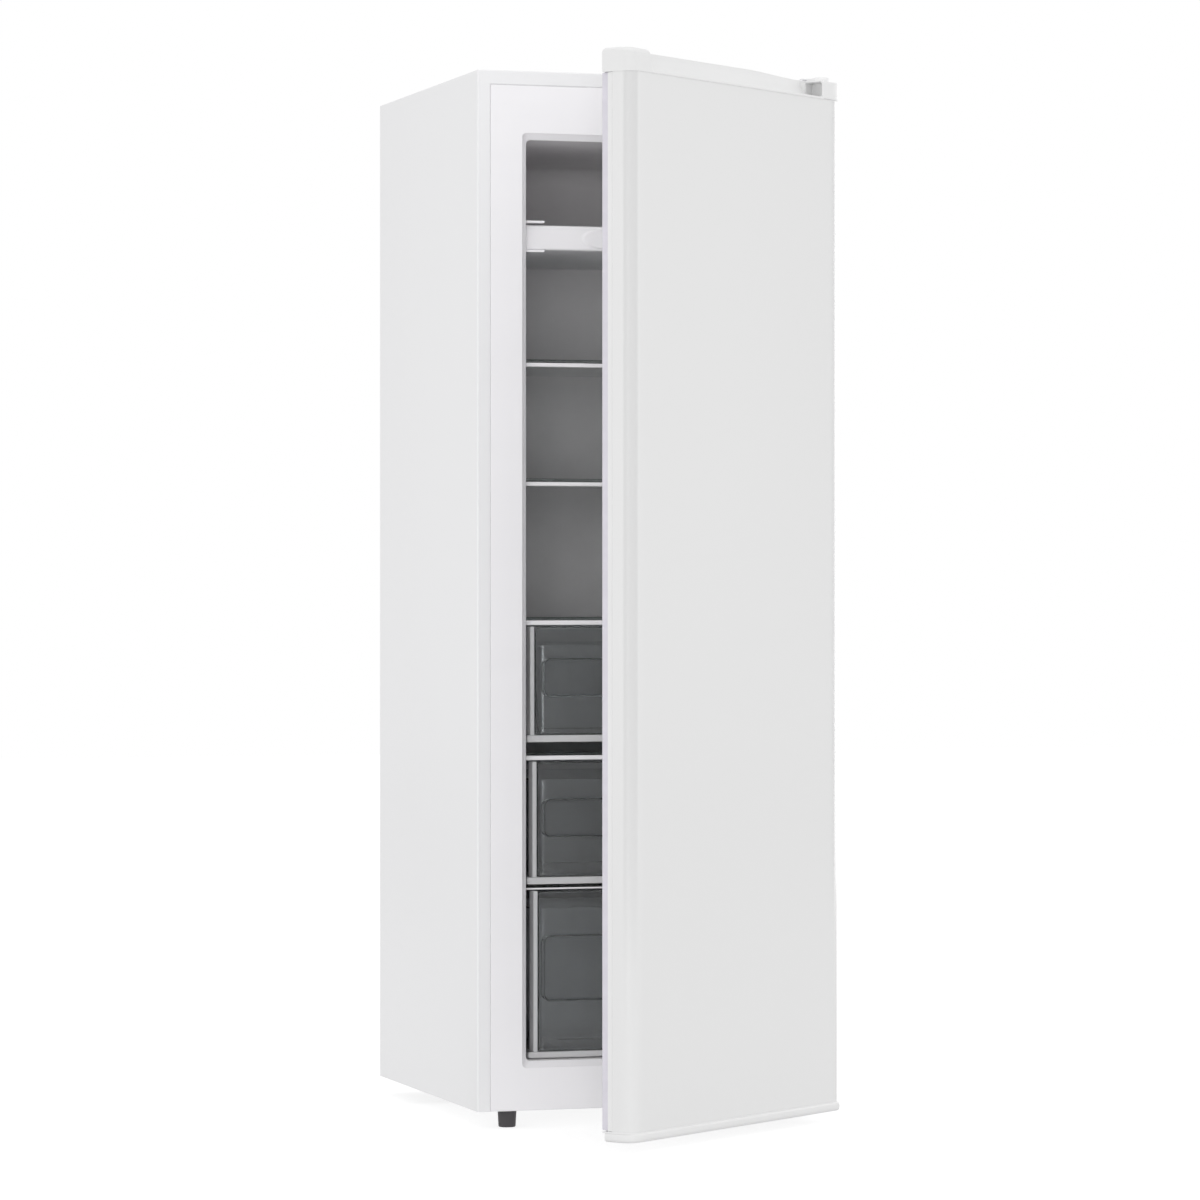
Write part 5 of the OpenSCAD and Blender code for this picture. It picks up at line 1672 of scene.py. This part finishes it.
@dataclass
class Studio:
    """The camera as fitted to the photograph, a pale floor, a white surround, cards and soft lamps."""

    camera_place: tuple = (-2.0314, -6.4558, 0.724)
    yaw: float = 17.53
    focal_px: float = 4806.0
    horizon_px: float = 590.8
    image_px: float = 1200.0
    sensor_mm: float = 36.0
    world_strength: float = 0.9
    floor_albedo: float = 0.35
    floor_light: float = 0.42
    floor_glow: float = 0.78
    floor_shine: float = 0.48
    floor_half: float = 14.0
    card_distance: float = 4.4
    card_height: tuple = (0.05, 3.2)
    cards: dict = field(default_factory=lambda: {
        "front_flag": (-60.0, 56.0, 0.03),
        "right_flag": (92.6, 98.5, 0.25),
        "right_strip": (98.5, 150.0, 2.0),
    })
    lamps: list = field(default_factory=lambda: [
        Lamp("left_bank", (-2.4, -4.0, 0.9), target=(-0.1, -0.2, 0.6), size=(1.6, 2.2), power=32.0),
        Lamp("front_bank", (-1.62, -5.0, 0.55), target=(-0.1, -0.1, 0.75), size=(1.2, 2.2), power=34.0,
             spares=("door_steel", "door_cap_scoop", "door_cap_block", "door_cap_bar", "door_inner_panel")),
        Lamp("right_bank", (2.2, -2.9, 1.1), target=(0.0, -0.45, 0.75), size=(1.4, 2.2), power=6.0),
        Lamp("top_bank", (0.4, -0.8, 3.6), target=(0.0, 0.0, 0.8), size=(2.6, 2.6), power=4.0),
        Lamp("rear_bank", (1.6, 3.6, 1.9), target=(0.0, 0.2, 0.8), size=(2.6, 2.4), power=24.0),
    ])

    def make_camera(self) -> None:
        """The camera: level, turned by the fitted yaw, with its horizon a little above the middle."""
        data = bpy.data.cameras.new("photograph")
        data.sensor_width = self.sensor_mm
        data.lens = self.sensor_mm * self.focal_px / self.image_px
        data.shift_y = -(self.image_px / 2 - self.horizon_px) / self.image_px
        data.clip_end = 60.0
        camera = placed("photograph", data)
        camera.location = self.camera_place
        camera.rotation_euler = (math.pi / 2, 0.0, -math.radians(self.yaw))
        bpy.context.scene.camera = camera

    def sheet(self, recipe: Recipe, shader: Tone, points: list, faces: list) -> bpy.types.Object:
        """Adds a sheet of the studio, which is no part of the freezer.

        Args:
            recipe: The sheet's material, whose name the sheet takes.
            shader: The material's shader.
            points: Corners of the sheet, in metres.
            faces: Faces between them.

        Returns:
            The sheet.
        """
        recipe.node("ShaderNodeOutputMaterial", sockets={"Surface": shader})
        mesh = bpy.data.meshes.new(recipe.owner.name)
        mesh.from_pydata(points, [], faces)
        mesh.materials.append(recipe.owner)
        made = placed(recipe.owner.name, mesh)
        return made

    def make_floor(self) -> None:
        """The floor: matt, with a glow that is strongest to the camera, so that only a soft shadow shows.

        Gloss sees less of the glow, and it lights the object with a level of its own.
        """
        recipe = Recipe(bpy.data.materials.new("studio_floor"))
        seen, glossy, through, bounced = (
            recipe.node("ShaderNodeLightPath", output=f"Is {ray} Ray")
            for ray in ("Camera", "Glossy", "Transmission", "Diffuse"))
        level = self.floor_glow * (seen + through).above(0.5)
        level = level + self.floor_shine * glossy + self.floor_light * bounced
        matt = recipe.node("ShaderNodeBsdfDiffuse", sockets={"Color": (*[self.floor_albedo] * 3, 1.0)})
        glow = recipe.node("ShaderNodeEmission", sockets={"Color": (1, 1, 1, 1), "Strength": level})
        both = recipe.node("ShaderNodeAddShader", sockets={0: matt, 1: glow})
        size = self.floor_half
        points = [(-size, -size, 0), (size, -size, 0), (size, size, 0), (-size, size, 0)]
        self.sheet(recipe, both, points, [(0, 1, 2, 3)])

    def make_card(self, name: str, start: float, end: float, level: float) -> None:
        """A curved card round the object, dark or bright, which only shows in gloss.

        Args:
            name: The card's name.
            start: Azimuth in degrees at which it starts, from the front towards the right.
            end: Azimuth at which it ends.
            level: Its brightness.
        """
        recipe = Recipe(bpy.data.materials.new(name))
        dull = recipe.node("ShaderNodeEmission", sockets={"Color": (1, 1, 1, 1), "Strength": level})
        turn = np.radians(np.linspace(start, end, 25))
        x, y = self.card_distance * np.sin(turn), -self.card_distance * np.cos(turn)
        points = [(u, v, z) for z in self.card_height for u, v in zip(x.tolist(), y.tolist())]
        count = len(turn)
        faces = [(i, i + 1, count + i + 1, count + i) for i in range(count - 1)]
        card = self.sheet(recipe, dull, points, faces)
        for ray in ("camera", "diffuse", "transmission", "shadow"):
            setattr(card, f"visible_{ray}", False)

    def make_world(self) -> None:
        """The surround: white to the camera and through clear pieces, and a little dimmer as a light."""
        world = bpy.data.worlds.new("studio")
        bpy.context.scene.world = world
        recipe = Recipe(world)
        seen = recipe.node("ShaderNodeLightPath", output="Is Camera Ray")
        through = recipe.node("ShaderNodeLightPath", output="Is Transmission Ray")
        level = self.world_strength + (1.0 - self.world_strength) * (seen + through).above(0.5)
        white = recipe.node("ShaderNodeBackground", sockets={"Color": (1, 1, 1, 1), "Strength": level})
        recipe.node("ShaderNodeOutputWorld", sockets={"Surface": white})

    def make(self) -> None:
        """Builds the studio."""
        bpy.context.scene.view_settings.view_transform = "Standard"
        self.make_camera()
        self.make_floor()
        for name, card in self.cards.items():
            self.make_card(name, *card)
        self.make_world()
        for lamp in self.lamps:
            lamp.make()


def corners(box: object) -> list[list[float]]:
    """A box as plain lists of numbers.

    Args:
        box: Two corners.

    Returns:
        The two corners as lists.
    """
    return [[float(c) for c in corner] for corner in box]


def main() -> None:
    """Builds the freezer and the studio."""
    logging.basicConfig(level=logging.INFO, format="%(message)s")
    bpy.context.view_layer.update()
    CarriedOver().make()
    Cabinet().make()
    Shelves().make()
    TopTray().make()
    DrawerRails().make()
    Drawer(1, low=495.0, top=651.7, length=370.0, grip=(558.35, 606.35), front_half=163.4).make()
    Drawer(2, low=302.7, top=468.8, length=370.0, grip=(367.75, 415.75), front_half=160.2).make()
    Drawer(3, low=66.3, top=293.6, length=230.0, grip=(145.95, 230.95), front_half=158.8,
           flange_in=5.0, band_out=3.0, band_lift=1.2).make()
    Door().make()
    Fittings().make()
    Studio().make()


if __name__ == "__main__":
    main()
